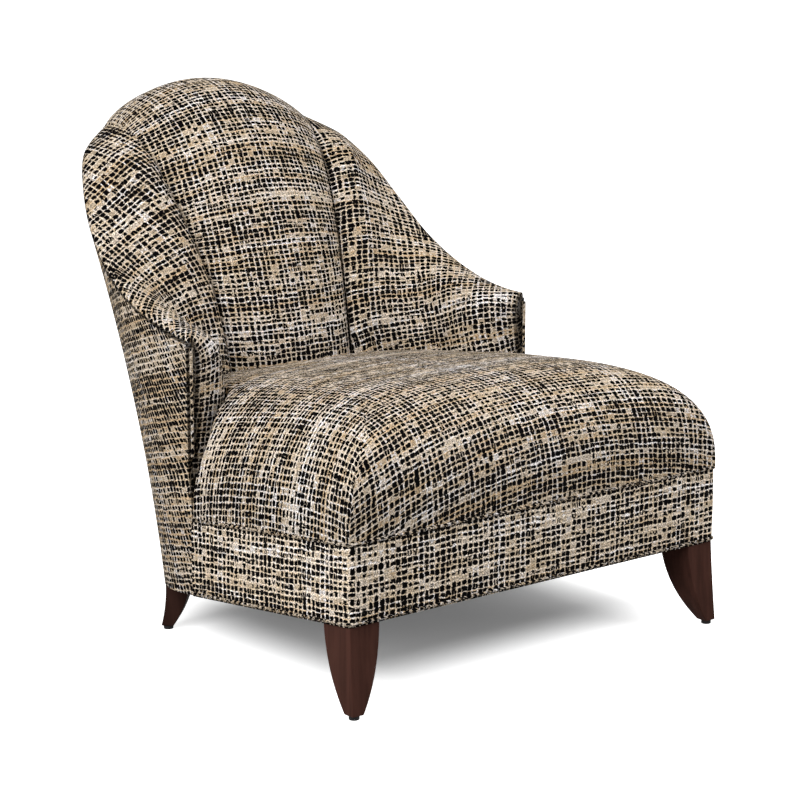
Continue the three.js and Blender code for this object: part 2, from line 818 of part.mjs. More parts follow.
// Square ring with small flats on its corners, turned about Z.
function squareRing([x, y], halfX, halfY, turn, height) {
  const flat = Math.min(halfX, halfY) * 0.12;
  const outline = [
    [halfX - flat, -halfY], [halfX, flat - halfY], [halfX, halfY - flat], [halfX - flat, halfY],
    [flat - halfX, halfY], [-halfX, halfY - flat], [-halfX, flat - halfY], [flat - halfX, -halfY],
  ];
  return outline.map(([u, v]) => {
    const px = x + u * Math.cos(turn) - v * Math.sin(turn);
    const py = y + u * Math.sin(turn) + v * Math.cos(turn);
    return new THREE.Vector3(px, py, height(py));
  });
}

const legTopLevel = hemLevel - 0.6;

function frontLeg(side) {
  const shares = [0, 0.13, 0.3, 0.47, 0.58, 0.69, 0.8, 0.9, 1];
  const outerTop = 398.5;
  return solidThrough(shares.map((share) => {
    const taper = 0.55 * share ** 1.5 + 0.45 * share ** 3.2;
    const sizeX = mix(frontLegTop, frontLegFoot, taper);
    const sizeY = mix(frontLegTopDepth, frontLegFoot, taper);
    const lean = share ** 1.2;
    const outerX = mix(outerTop, frontFoot[0] + frontLegFoot / 2, lean);
    const outerY = mix(-outerTop, frontFoot[1] - frontLegFoot / 2, lean);
    const centre = [side * (outerX - sizeX / 2), outerY + sizeY / 2];
    const height = (y) => mix(heightAt(legTopLevel, y), legEndZ, share);
    return squareRing(centre, sizeX / 2, sizeY / 2, 0, height);
  }));
}

function rearLeg(side) {
  const shares = [0, 0.15, 0.3, 0.45, 0.6, 0.75, 0.88, 1];
  const flare = 21;
  return solidThrough(shares.map((share) => {
    const radial = mix(41, rearLegFoot, 0.35 * share + 0.65 * share ** 2);
    const across = mix(46, rearLegFoot, 0.35 * share + 0.65 * share ** 2);
    const back = flare * (1 - share ** 1.9) * Math.SQRT1_2;
    const centre = [side * (rearFoot[0] - back), rearFoot[1] - back];
    const turn = side * (Math.PI / 4);
    const height = (y) => mix(heightAt(legTopLevel, y), legEndZ, share);
    return squareRing(centre, radial / 2, across / 2, turn, height);
  }));
}

function addLegs() {
  for (const [name, side] of [['left', -1], ['right', 1]]) {
    const ends = [
      ['front', frontLeg(side), frontBolt, frontFoot, 78],
      ['rear', rearLeg(side), rearBolt, rearFoot, 44],
    ];
    for (const [end, leg, bolt, foot, boltLow] of ends) {
      addPiece(`${end}_${name}_leg`, cut(leg, legBoltHole(side, bolt, boltLow)), espresso);
      const glide = new THREE.CylinderGeometry(glideRadius, glideRadius, legEndZ - gap, 16);
      glide.rotateX(Math.PI / 2);
      const glidePiece = addPiece(`${end}_${name}_glide`, glide, plastic);
      glidePiece.position.set(side * foot[0], foot[1], (legEndZ - gap) / 2);
      const boltHigh = heightAt(238, bolt[1]);
      const shank = new THREE.CylinderGeometry(boltRadius, boltRadius, boltHigh - boltLow, 12);
      shank.rotateX(Math.PI / 2);
      const boltPiece = addPiece(`${end}_${name}_hanger_bolt`, shank, steel);
      boltPiece.position.set(side * bolt[0], bolt[1], (boltHigh + boltLow) / 2);
    }
  }
}

function legBoltHole(side, [x, y], low) {
  const depth = 200;
  const hole = new THREE.CylinderGeometry(boltRadius + 0.3, boltRadius + 0.3, depth, 12);
  hole.rotateX(Math.PI / 2);
  hole.translate(side * x, y, low - gap + depth / 2);
  return hole;
}

// Welts of the seam and of the hem, half sunk in the faces that they trim.
const weltRadius = 2.8;
const weltProud = 1;

function baseWelt(level, radius, overrun) {
  const line = baseOutline(-weltProud).map(([x, y]) => [x, y]);
  line[0][1] += overrun;
  line[line.length - 1][1] += overrun;
  return tubeThrough(line.map(([x, y]) => new THREE.Vector3(x, y, heightAt(level, y))), radius, 8);
}

const seamWelt = (radius, overrun) => baseWelt(seamLevel, radius, overrun);
const hemWelt = (radius, overrun) => baseWelt(hemLevel + 5, radius, overrun);

function addWelts() {
  addPiece('seat_seam_welt', seamWelt(weltRadius, 0), fabric);
  addPiece('front_hem_welt', hemWelt(weltRadius, 0), fabric);
  for (const [name, side] of [['left', -1], ['right', 1]]) {
    const line = [];
    for (let i = 0; i <= 8; i += 1) {
      const point = wallFace(side, mix(0.54, 0.985, i / 8));
      point.x -= side * coverThickness * 0.6;
      point.y -= weltRadius + 2;
      line.push(point);
    }
    addPiece(`${name}_arm_front_welt`, tubeThrough(line, weltRadius, 8, new THREE.Vector3(0, 1, 0)), fabric);
  }
}

addBase();
addFrame();
addSprings();
const springClear = springLevel + springWire + 1.4;
addPiece('spring_deck', baseSheet(coverThickness + gap + 4, 0.15, frameFar + 2, springClear, 2), jute);
const dustCover = cut(
  baseSheet(coverThickness + gap + 3, 0.01, coverThickness + 4, hemLevel + 0.4, 1.6),
  ...[-1, 1].flatMap((side) => [boltHole(side, frontBolt), boltHole(side, rearBolt)]),
);
addPiece('dust_cover', dustCover, cambric);
addCushions();
addOutsidePanels();
addLegs();
addWelts();

export default chair;
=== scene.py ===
import math

import bmesh
import bpy
import numpy as np
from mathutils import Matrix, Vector, noise


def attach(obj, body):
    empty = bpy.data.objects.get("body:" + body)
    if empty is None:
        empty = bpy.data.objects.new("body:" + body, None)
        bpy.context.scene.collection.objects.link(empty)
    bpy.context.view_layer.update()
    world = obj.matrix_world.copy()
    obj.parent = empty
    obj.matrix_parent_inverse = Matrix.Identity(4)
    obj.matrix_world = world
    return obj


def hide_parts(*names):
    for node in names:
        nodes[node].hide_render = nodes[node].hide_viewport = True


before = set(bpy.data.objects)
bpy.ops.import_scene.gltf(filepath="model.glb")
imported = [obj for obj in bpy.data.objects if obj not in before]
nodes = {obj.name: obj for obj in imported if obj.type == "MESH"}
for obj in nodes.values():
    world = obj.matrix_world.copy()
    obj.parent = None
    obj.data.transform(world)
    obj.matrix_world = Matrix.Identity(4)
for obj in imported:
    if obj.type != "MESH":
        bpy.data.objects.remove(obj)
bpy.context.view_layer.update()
print("frame loaded,", len(nodes), "nodes")

mm = 0.001

# The chair's body, in millimetres as in its CAD source. Heights called "level" are before it is tipped back.
body = dict(
    frontY=-400, tilt=0.104, depthShift=-93.5, hemLevel=147, seamLevel=277,
    hemOutline=[(398, 15), (396, 46), (391, 84), (380, 120), (362, 154), (334, 184),
                (292, 210), (232, 232), (158, 246), (80, 253), (0, 255)],
    seamOutline=[(375, 57, 517), (373, 105, 524), (369, 170, 538), (367, 240, 563), (361, 315, 606), (348, 385, 670),
                 (322, 446, 738), (284, 500, 786), (216, 550, 821), (112, 584, 862), (0, 596, 880)],
    grooveLine=[(136, 250, 232), (137, 263, 340), (138, 276, 430), (146, 304, 545), (160, 338, 627), (174, 378, 705),
                (187, 425, 778), (197, 463, 815), (204, 496, 830), (208, 524, 834), (211, 545, 829)],
    middleLine=[(0, 216, 232), (0, 227, 340), (0, 240, 430), (0, 268, 545), (0, 300, 640), (0, 340, 735),
                (0, 388, 818), (0, 436, 868), (0, 490, 899), (0, 545, 908), (0, 582, 898)],
    grooveAt=0.205, noseAt=0.86, coverSeamAt=0.45, rollDrop=38,
)


def mix(a, b, k):
    return a + (b - a) * k


def clamp(k):
    return np.clip(k, 0.0, 1.0)


def smoothStep(k):
    return clamp(k) ** 2 * (3 - 2 * clamp(k))


def heightAt(level, y):
    return level - body["tilt"] * (y - body["frontY"])


def curveThrough(points):  # smooth centripetal curve, read by a share of its points
    p = np.array([tuple(q) + (0,) * (3 - len(q)) for q in points], float)
    p = np.vstack([2 * p[0] - p[1], p, 2 * p[-1] - p[-2]])
    gaps = np.maximum(np.sqrt(np.linalg.norm(np.diff(p, axis=0), axis=1)), 1e-4)[:, None]

    def at(share):
        s = clamp(np.asarray(share, float)) * (len(p) - 3)
        i = np.minimum(s.astype(int), len(p) - 4)
        w = (s - i)[..., None]
        p0, p1, p2, p3 = p[i], p[i + 1], p[i + 2], p[i + 3]
        d0, d1, d2 = gaps[i], gaps[i + 1], gaps[i + 2]
        t1 = ((p1 - p0) / d0 - (p2 - p0) / (d0 + d1) + (p2 - p1) / d1) * d1
        t2 = ((p2 - p1) / d1 - (p3 - p1) / (d1 + d2) + (p3 - p2) / d2) * d1
        return p1 + t1 * w + (3 * (p2 - p1) - 2 * t1 - t2) * w ** 2 + (2 * (p1 - p2) + t1 + t2) * w ** 3

    return at


def halfCurve(points):  # an outline that ends at the chair's middle and runs on into its mirror image
    next_ = (-points[-2][0],) + tuple(points[-2][1:])
    curve = curveThrough(list(points) + [next_])
    return lambda share: curve(clamp(share) * (len(points) - 1) / len(points))


hemCurve = halfCurve(body["hemOutline"])
seamCurve = halfCurve(body["seamOutline"])
grooveCurve = curveThrough(body["grooveLine"])
middleCurve = curveThrough(body["middleLine"])
risingShares = np.linspace(0, 0.8, 1601)
risingGroove = grooveCurve(risingShares)
grooveAt, noseAt, rollDrop = body["grooveAt"], body["noseAt"], body["rollDrop"]


def shareAtHeight(z):
    return np.interp(z, risingGroove[:, 2], risingShares)


def wallFace(around, up):
    around, up = np.broadcast_arrays(np.asarray(around, float), np.asarray(up, float))
    side = np.where(around < 0, -1.0, 1.0)
    hem, seam = hemCurve(1 - np.abs(around)), seamCurve(1 - np.abs(around))
    share = mix(up * (0.62 + 0.38 * up), smoothStep((up - 0.31) / 0.2), clamp((np.abs(around) - 0.8) / 0.2))
    return np.stack([
        side * mix(hem[..., 0], seam[..., 0], share),
        mix(hem[..., 1], seam[..., 1], share),
        mix(heightAt(body["hemLevel"], hem[..., 1]), seam[..., 2], up),
    ], -1)


def wallPoint(around, up, depth):
    point = wallFace(around, up)
    along = (wallFace(np.minimum(around + 0.01, 1), up) - wallFace(np.maximum(around - 0.01, -1), up))[..., :2]
    along = along / np.linalg.norm(along, axis=-1, keepdims=True)
    point[..., 0] += along[..., 1] * depth
    point[..., 1] -= along[..., 0] * depth
    point[..., 2] += body["tilt"] * along[..., 0] * depth * (1 - up)
    return point


def pointAtHeight(around, z, depth):
    around, z = np.broadcast_arrays(np.asarray(around, float), np.asarray(z, float))
    bottom, top = wallFace(around, 0)[..., 2], wallFace(around, 1)[..., 2]
    point = wallPoint(around, np.minimum((z - bottom) / (top - bottom), 1), depth)
    point[..., 2] = z
    return point


rollStart = float(shareAtHeight(seamCurve(1 - grooveAt)[2] - rollDrop))


def padLow(around):
    return mix(232, 294, smoothStep((np.abs(around) - 0.6) / 0.25))


def arcAlong(points, axis):  # running length along a grid's rows or columns, in metres
    steps = np.linalg.norm(np.diff(points, axis=axis), axis=-1)
    start = np.zeros_like(np.take(steps, [0], axis=axis))
    return np.concatenate([start, np.cumsum(steps, axis=axis)], axis=axis) * mm


def ripple(points, size, scale, seed):  # slow uneven swell of a stuffed surface, in millimetres
    flat = points.reshape(-1, 3) * mm * scale
    out = [noise.noise(Vector((p[0] + seed, p[1] - seed, p[2]))) for p in flat]
    return (np.array(out) * size).reshape(points.shape[:-1])


# Weave coordinates of one cloth laid on a grid of places with little stretch, as complex numbers in metres.
# Each place has its own frame; the turns of neighbouring frames are settled round by round. "Turn" then gives,
# place by place, how far the cloth's columns lean from the grid's first column, taken up to the crest row.
def layCloth(points, turn, crest, rounds=8):
    along, up = np.gradient(points, axis=1), np.gradient(points, axis=0)
    along = along / np.linalg.norm(along, axis=-1, keepdims=True)
    normal = np.cross(along, up)
    normal = normal / np.linalg.norm(normal, axis=-1, keepdims=True)
    over = np.cross(normal, along)
    links = []
    for axis in (1, 0):
        edge = np.diff(points, axis=axis) * mm
        ends = (np.s_[:, :-1], np.s_[:, 1:]) if axis == 1 else (np.s_[:-1], np.s_[1:])
        flat = [(edge * along[end]).sum(-1) + 1j * (edge * over[end]).sum(-1) for end in ends]
        links.append((axis, ends, flat, 0.01 / np.maximum(np.linalg.norm(edge, axis=-1), 1e-4)))

    def gather(flows):  # what flows into each place, less what flows out
        out = np.zeros(points.shape[:2], complex)
        for (_, ends, _, _), flow in zip(links, flows):
            out[ends[1]] += flow
            out[ends[0]] -= flow
        return out

    def spread(cloth):
        return gather([weight * np.diff(cloth, axis=axis) for axis, _, _, weight in links])

    def settle(cloth, spin, steps):  # conjugate gradients
        wanted = gather([weight * (spin[ends[0]] * flat[0] + spin[ends[1]] * flat[1]) / 2
                         for _, ends, flat, weight in links])
        rest = wanted - spread(cloth)
        move, size = rest.copy(), np.vdot(rest, rest).real
        for _ in range(steps):
            pushed = spread(move)
            step = size / max(np.vdot(move, pushed).real, 1e-30)
            cloth, rest = cloth + step * move, rest - step * pushed
            before, size = size, np.vdot(rest, rest).real
            move = rest + move * size / max(before, 1e-30)
        return cloth

    cloth = arcAlong(points, 1) + 1j * arcAlong(points, 0)
    spin = np.ones(points.shape[:2], complex)
    for _ in range(rounds):
        cloth = settle(cloth, spin, 90)
        spin = np.zeros(points.shape[:2], complex)
        for axis, ends, flat, weight in links:
            change = weight * np.diff(cloth, axis=axis)
            for end, part in zip(ends, flat):
                spin[end] += change * np.conj(part)
        spin /= np.abs(spin)
    edge = cloth[crest, 0] - cloth[0, 0]
    upright = 1j * abs(edge) / edge
    cloth = settle(cloth * upright, spin * upright * np.exp(-1j * turn), 500)
    return np.stack([cloth.real, cloth.imag], -1)


# Closed padded shape between a front and a back grid of places. It starts as one flat grid,
# extruded once, and each vertex then goes to its place. The front's weave coordinates go to all faces.
def padBetween(name, front, back, weave, turned=None, seam_shade=None, sharpAngle=42):
    rows, columns = front.shape[:2]
    bm = bmesh.new()
    bmesh.ops.create_grid(bm, x_segments=columns - 1, y_segments=rows - 1, size=0.5)
    made = bmesh.ops.extrude_face_region(bm, geom=bm.faces[:])
    moved = [g for g in made["geom"] if isinstance(g, bmesh.types.BMVert)]
    bmesh.ops.translate(bm, verts=moved, vec=(0, 0, 1))
    uvLayer = bm.loops.layers.uv.new("weave")
    # per-vertex amount of painted seam shade, which the tweed material reads
    seamShading = bm.verts.layers.float.new("seam_shade") if seam_shade is not None else None
    spots, inFront = {}, {}
    for vert in bm.verts:
        column = round((vert.co.x + 0.5) * (columns - 1))
        row = round((vert.co.y + 0.5) * (rows - 1))
        spots[vert] = (row, column)
        inFront[vert] = vert.co.z > 0.5
        place = front[row, column] if inFront[vert] else back[row, column]
        if seamShading:
            vert[seamShading] = seam_shade[row, column]
        vert.co = Vector(place) * mm + Vector((0, body["depthShift"] * mm, 0))
    for face in bm.faces:
        face.smooth = True
        used = weave
        if turned is not None and np.mean([turned[1][spots[v]] for v in face.verts]) > 0.5:
            used = turned[0]
        away = np.zeros(2)  # on the pad's rim the weave runs on over the edge
        if len({inFront[v] for v in face.verts}) == 2:
            ends = [{spots[v][k] for v in face.verts} for k in (0, 1)]
            if ends[1] in ({0}, {columns - 1}):
                away[0] = 1 if ends[1] == {columns - 1} else -1
            else:
                away[1] = 1 if ends[0] == {rows - 1} else -1
        for loop in face.loops:
            spot = spots[loop.vert]
            reach = 0 if inFront[loop.vert] else np.linalg.norm(front[spot] - back[spot]) * mm
            loop[uvLayer].uv = used[spot] + away * reach
    bmesh.ops.recalc_face_normals(bm, faces=bm.faces[:])
    for edge in bm.edges:
        if len(edge.link_faces) == 2 and edge.calc_face_angle(0) > math.radians(sharpAngle):
            edge.smooth = False
    return finishMesh(name, bm)


def finishMesh(name, bm):
    mesh = bpy.data.meshes.new(name)
    bm.to_mesh(mesh)
    bm.free()
    piece = bpy.data.objects.new(name, mesh)
    bpy.context.scene.collection.objects.link(piece)
    return piece


# Round welt along a line of places: a grid rolled into a tube, its seam merged and its ends filled.
def weltAlong(name, line, radius, sides=12, up=(0, 0, 1)):
    line = np.asarray(line, float)
    along = np.gradient(line, axis=0)
    along /= np.linalg.norm(along, axis=1, keepdims=True)
    across = np.cross(along, np.array(up, float))
    across /= np.linalg.norm(across, axis=1, keepdims=True)
    over = np.cross(across, along)
    length = arcAlong(line, 0)
    bm = bmesh.new()
    bmesh.ops.create_grid(bm, x_segments=sides, y_segments=len(line) - 1, size=0.5)
    uvLayer = bm.loops.layers.uv.new("weave")
    spots = {}
    for vert in bm.verts:
        turn = (vert.co.x + 0.5) * 2 * math.pi
        row = round((vert.co.y + 0.5) * (len(line) - 1))
        spots[vert] = (length[row], radius * turn * mm)
        place = line[row] + radius * (across[row] * math.cos(turn) + over[row] * math.sin(turn))
        vert.co = Vector(place) * mm + Vector((0, body["depthShift"] * mm, 0))
    for face in bm.faces:
        face.smooth = True
        for loop in face.loops:
            loop[uvLayer].uv = spots[loop.vert]
    bmesh.ops.remove_doubles(bm, verts=bm.verts[:], dist=1e-6)
    bmesh.ops.holes_fill(bm, edges=[e for e in bm.edges if e.is_boundary], sides=sides + 1)
    bmesh.ops.recalc_face_normals(bm, faces=bm.faces[:])
    return finishMesh(name, bm)


def mirroredCopy(piece, name):  # the same piece on the chair's other side
    bm = bmesh.new()
    bm.from_mesh(piece.data)
    bmesh.ops.scale(bm, vec=(-1, 1, 1), verts=bm.verts[:])
    bmesh.ops.recalc_face_normals(bm, faces=bm.faces[:])
    return finishMesh(name, bm)


def fit(piece, node, finish):
    piece.data.materials.clear()
    piece.data.materials.append(finish)
    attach(piece, "root")
    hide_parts(node)
    return piece


# ---- finishes

def newSocket(group, name, direction, kind, value=None):
    socket = group.interface.new_socket(name=name, in_out=direction, socket_type="NodeSocket" + kind)
    if value is not None:
        socket.default_value = value
    return socket


class Wiring:  # short hand for the nodes of one tree
    def __init__(self, tree):
        self.tree = tree

    def node(self, kind, inputs=(), **settings):
        made = self.tree.nodes.new(kind)
        for key, value in settings.items():
            setattr(made, key, value)
        for key, value in dict(inputs).items():
            if isinstance(value, bpy.types.NodeSocket):
                self.tree.links.new(value, made.inputs[key])
            else:
                made.inputs[key].default_value = value
        return made

    def sum(self, operation, *values, clamped=False):
        return self.node("ShaderNodeMath", dict(enumerate(values)), operation=operation, use_clamp=clamped).outputs[0]

    def plus(self, first, *others):
        for other in others:
            first = self.sum("ADD", first, other)
        return first

    def times(self, first, *others):
        for other in others:
            first = self.sum("MULTIPLY", first, other)
        return first

    def less(self, first, second):
        return self.sum("SUBTRACT", first, second)

    def mixed(self, factor, a, b):
        return self.node("ShaderNodeMix", {0: factor, 2: a, 3: b}).outputs[0]

    def ramp(self, value, fromLow, fromHigh, toLow=0.0, toHigh=1.0):
        made = self.node("ShaderNodeMapRange", {0: value, 1: fromLow, 2: fromHigh, 3: toLow, 4: toHigh},
                         interpolation_type="SMOOTHSTEP")
        return made.outputs[0]

    def blend(self, factor, a, b, kind="MIX"):
        made = self.node("ShaderNodeMix", {0: factor, 6: a, 7: b}, data_type="RGBA", blend_type=kind)
        return made.outputs[2]

    def noise(self, vector, scale, detail=2.0, rough=0.5, kind="3D"):
        return self.node("ShaderNodeTexNoise", {"Vector": vector, "Scale": scale, "Detail": detail, "Roughness": rough},
                         noise_dimensions=kind).outputs

    def random(self, x, y=0.0):  # three random numbers for a whole-number place
        place = self.node("ShaderNodeCombineXYZ", {0: x, 1: y}).outputs[0]
        found = self.node("ShaderNodeTexWhiteNoise", {"Vector": place}, noise_dimensions="2D")
        parts = self.node("ShaderNodeSeparateColor", {0: found.outputs["Color"]})
        return parts.outputs[0], parts.outputs[1], parts.outputs[2]


# Chunky tweed: pale yarns in a loose grid over black ones, with slub rows and flecks.
tweed = dict(
    pitchAcross=0.0110, pitchUp=0.0089, wander=0.0022, kink=0.0018, kinkScale=95.0, fray=0.0016, uneven=0.0026, frayScale=380.0, fibreScale=430.0,
    # the last entry on the next line is how dark the painted seam shade makes the cloth
    cream=(0.60, 0.515, 0.425, 1), chalk=(0.70, 0.665, 0.655, 1), beige=(0.49, 0.39, 0.275, 1), seamShadeTone=0.22,
    tan=(0.47, 0.335, 0.20, 1), black=(0.0014, 0.0012, 0.0014, 1),
)


def makeTweedGroup():
    group = bpy.data.node_groups.new("tweed weave", "ShaderNodeTree")
    newSocket(group, "Weave", "INPUT", "Vector")
    newSocket(group, "Warmth", "INPUT", "Float", 0.0)
    newSocket(group, "Painted light level", "INPUT", "Float", 1.0)
    newSocket(group, "Color", "OUTPUT", "Color")
    newSocket(group, "Height", "OUTPUT", "Float")
    w = Wiring(group)
    start = w.node("NodeGroupInput")
    end = w.node("NodeGroupOutput")
    weave = start.outputs["Weave"]
    parts = w.node("ShaderNodeSeparateXYZ", {0: weave})
    slow = w.node("ShaderNodeSeparateColor", {0: w.noise(weave, 24.0, 1.0)[1]})
    near = w.node("ShaderNodeSeparateColor", {0: w.noise(weave, tweed["kinkScale"], 1.0)[1]})
    quick = w.node("ShaderNodeSeparateColor", {0: w.noise(weave, tweed["frayScale"], 1.0)[1]})

    def counted(channel, pitch):  # a place counted in yarns, which wander and fray
        bend = w.times(w.less(slow.outputs[channel], 0.5), tweed["wander"] * 2)
        kink = w.times(w.less(near.outputs[channel], 0.5), tweed["kink"] * 2)
        tremble = w.times(w.less(quick.outputs[channel], 0.5), tweed["fray"] * 2)
        longWay = w.node("ShaderNodeMapping", {"Vector": weave, "Scale": ((75.0, 5.0, 1.0), (5.0, 75.0, 1.0))[channel]})
        uneven = w.times(w.less(w.noise(longWay.outputs[0], 1.0, 1.0)[0], 0.5), tweed["uneven"] * 2)
        return w.sum("DIVIDE", w.plus(parts.outputs[channel], bend, kink, tremble, uneven), pitch)

    u, v = counted(0, tweed["pitchAcross"]), counted(1, tweed["pitchUp"])
    column, row = w.sum("FLOOR", u), w.sum("FLOOR", v)
    c1, c2, c3 = w.random(column, row)
    d1, d2, d3 = w.random(column, w.plus(row, 517.0))
    e1, e2, e3 = w.random(column, w.plus(row, 229.0))
    r1, r2, r3 = w.random(row, 311.0)
    k1, k2, k3 = w.random(column, 877.0)
    fromColumn = w.less(w.sum("FRACT", u), 0.5)
    fromRow = w.less(w.sum("FRACT", v), 0.5)
    yarnAcross, yarnUp = w.sum("ABSOLUTE", fromColumn), w.sum("ABSOLUTE", fromRow)
    offAcross = w.sum("ABSOLUTE", w.less(fromColumn, w.times(w.less(d1, 0.5), 0.18)))
    offUp = w.sum("ABSOLUTE", w.less(fromRow, w.times(w.less(d2, 0.5), 0.16)))
    # black float of each cell: an upright dash, two thin ones, a block or a flat dash
    block, flat = w.ramp(c3, 0.40, 0.42), w.ramp(c3, 0.82, 0.84)
    close = w.node("ShaderNodeMapping", {"Vector": weave, "Scale": (22.0, 80.0, 1.0), "Location": (3.0, 7.0, 0.0)})
    twin = w.times(w.less(1.0, block), w.ramp(w.plus(w.noise(close.outputs[0], 1.0, 1.0)[0], w.times(d3, 0.12)), 0.64, 0.65))
    thinAcross = w.times(w.sum("ABSOLUTE", w.less(w.sum("FRACT", w.times(u, 2.0)), 0.5)), 0.5)
    offAcross = w.mixed(twin, offAcross, thinAcross)
    streak = w.node("ShaderNodeMapping", {"Vector": weave, "Scale": (7.0, 46.0, 1.0), "Location": (1.0, 2.0, 0.0)})
    patch = w.less(w.noise(streak.outputs[0], 1.0, 2.0)[0], 0.5)
    fullness = w.plus(w.times(w.less(r1, 0.5), 0.17), w.times(patch, 0.31), w.times(w.less(k1, 0.5), 0.07))
    halfAcross = w.plus(0.272, w.times(c1, 0.15), w.times(block, 0.07), w.times(flat, 0.12), fullness)
    halfAcross = w.sum("MINIMUM", halfAcross, w.plus(0.40, w.times(flat, 0.07)))
    halfAcross = w.times(halfAcross, w.mixed(twin, 1.0, 0.60))
    tall = w.times(w.less(1.0, block), w.ramp(e3, 0.80, 0.82))
    halfUp = w.plus(0.428, w.times(w.less(c2, 0.5), 0.20), w.times(block, -0.055), w.times(flat, -0.07),
                    w.times(tall, 0.13), w.times(fullness, 0.8))
    span = w.plus(w.sum("POWER", w.sum("DIVIDE", offAcross, halfAcross), 2.8),
                  w.sum("POWER", w.sum("DIVIDE", offUp, halfUp), 2.8))
    # thin black bars tie neighbours together, above or below
    barAt = w.mixed(w.ramp(e2, 0.49, 0.51), -0.27, 0.27)
    bar = w.times(w.ramp(w.sum("ABSOLUTE", w.less(fromRow, barAt)), 0.08, 0.14, 1.0, 0.0), w.ramp(e1, 0.70, 0.72))
    present = w.ramp(w.plus(d2, w.times(patch, 1.3), w.times(w.less(r1, 0.5), 0.3)), 0.07, 0.10)
    dark = w.times(w.sum("MAXIMUM", w.ramp(span, 0.92, 1.28, 1.0, 0.0), bar), present)
    # pale yarns: the weft's colour goes by row and changes along it, the warp's goes by column
    stretch = w.node("ShaderNodeMapping", {"Vector": weave, "Scale": (9.0, 105.0, 1.0)}).outputs[0]
    tone = w.plus(w.times(r2, 0.62), w.times(w.noise(stretch, 1.0, 1.0)[0], 0.62), w.times(w.less(c3, 0.5), 0.18))
    tone = w.less(tone, start.outputs["Warmth"])
    weft = w.blend(w.ramp(tone, 0.40, 0.50), tweed["tan"], tweed["beige"])
    weft = w.blend(w.ramp(tone, 0.54, 0.68), weft, tweed["cream"])
    weft = w.blend(w.ramp(tone, 0.84, 0.94), weft, tweed["chalk"])
    warp = w.blend(w.ramp(w.plus(w.times(k2, 0.5), w.times(c2, 0.5)), 0.42, 0.80), tweed["beige"], tweed["cream"])
    warp = w.blend(w.ramp(w.plus(k3, w.times(c1, 0.3)), 0.90, 1.10), warp, tweed["chalk"])
    weftOver = w.ramp(w.plus(w.less(yarnUp, yarnAcross), w.times(d1, 0.20)), -0.04, 0.18)
    pale = w.blend(weftOver, warp, weft)
    # fibres: fine light and dark flecks, and yarn edges in shade
    fleck = w.noise(weave, tweed["fibreScale"], 1.0)[0]
    rounded = w.sum("MAXIMUM", w.ramp(yarnUp, 0.24, 0.46, 0.62, 1.0), w.ramp(yarnAcross, 0.24, 0.46, 0.62, 0.86))
    # the painted light level scales the pale yarns, so lighter and darker copies of one tweed stand in for light and
    # shade
    shade = w.times(w.ramp(fleck, 0.30, 0.70, 0.32, 1.62), rounded, start.outputs["Painted light level"])
    pale = w.node("ShaderNodeVectorMath", {0: pale, 3: shade}, operation="SCALE").outputs[0]
    glint = w.ramp(fleck, 0.35, 0.8, 0.5, 2.0)
    ink = w.node("ShaderNodeVectorMath", {0: tweed["black"][:3], 3: glint}, operation="SCALE").outputs[0]
    lift = w.times(w.less(1.0, w.times(dark, 0.8)), w.ramp(fleck, 0.2, 0.8, 0.7, 1.0))
    group.links.new(w.blend(dark, pale, ink), end.inputs["Color"])
    group.links.new(lift, end.inputs["Height"])
    return group


tweedGroup = makeTweedGroup()


def newMaterial(name):
    material = bpy.data.materials.new(name)
    material.use_nodes = True
    material.node_tree.nodes.clear()
    w = Wiring(material.node_tree)
    shader = w.node("ShaderNodeBsdfPrincipled")
    out = w.node("ShaderNodeOutputMaterial")
    material.node_tree.links.new(shader.outputs[0], out.inputs["Surface"])
    return material, w, shader


def tweedMaterial(name, warmth, depth, shift=(0.0, 0.0, 0.0), turn=0.0, scale=(1.0, 1.0, 1.0), seamShading=False):
    material, w, shader = newMaterial(name)
    source = w.node("ShaderNodeUVMap", uv_map="weave").outputs[0]
    placed = w.node("ShaderNodeMapping", {"Vector": source, "Location": shift, "Rotation": (0, 0, turn), "Scale": scale})
    weave = w.node("ShaderNodeGroup", {}, node_tree=tweedGroup)
    w.tree.links.new(placed.outputs[0], weave.inputs["Weave"])
    weave.inputs["Warmth"].default_value = warmth
    # depth is a painted light level: above 1 it paints the piece lighter, below 1 it paints it in shade
    weave.inputs["Painted light level"].default_value = depth
    bump = w.node("ShaderNodeBump", {"Height": weave.outputs["Height"], "Strength": 0.5, "Distance": 0.0014})
    colour = weave.outputs["Color"]
    if seamShading:  # painted shade: the cloth is darkened where it turns into a seam
        depth = w.ramp(w.node("ShaderNodeAttribute", attribute_name="seam_shade").outputs["Fac"], 0.1, 0.9, 1.0, tweed["seamShadeTone"])
        colour = w.node("ShaderNodeVectorMath", {0: colour, 3: depth}, operation="SCALE").outputs[0]
    w.tree.links.new(colour, shader.inputs["Base Color"])
    w.tree.links.new(bump.outputs[0], shader.inputs["Normal"])
    shader.inputs["Roughness"].default_value = 1.0
    shader.inputs["Specular IOR Level"].default_value = 0.02
    return material


# One tweed in several copies. The seat and the band are painted lighter and the welts darker (painted light and painted
# shade); the outside panels get a darker, warmer mix as painted shade; the wings and outside panels get painted shade
# along their seams.
coverFinish = tweedMaterial("cover tweed", 0.0, 1.0)
wingFinish = tweedMaterial("wing tweed with painted seam shade", 0.0, 1.0, shift=(0.37, 0.11, 0), seamShading=True)
seatFinish = tweedMaterial("seat tweed with painted light", -0.01, 1.05, shift=(0.83, 0.42, 0))
bandFinish = tweedMaterial("band tweed with painted light", 0.0, 1.29, shift=(1.31, 0.77, 0), scale=(0.98, 0.91, 1))
outsideFinish = tweedMaterial("outside tweed with painted shade", 0.12, 1.04, shift=(2.2, 1.3, 0), seamShading=True)
weltFinish = tweedMaterial("welt tweed with painted shade", 0.02, 0.85, shift=(3.1, 0.2, 0), turn=math.radians(45))


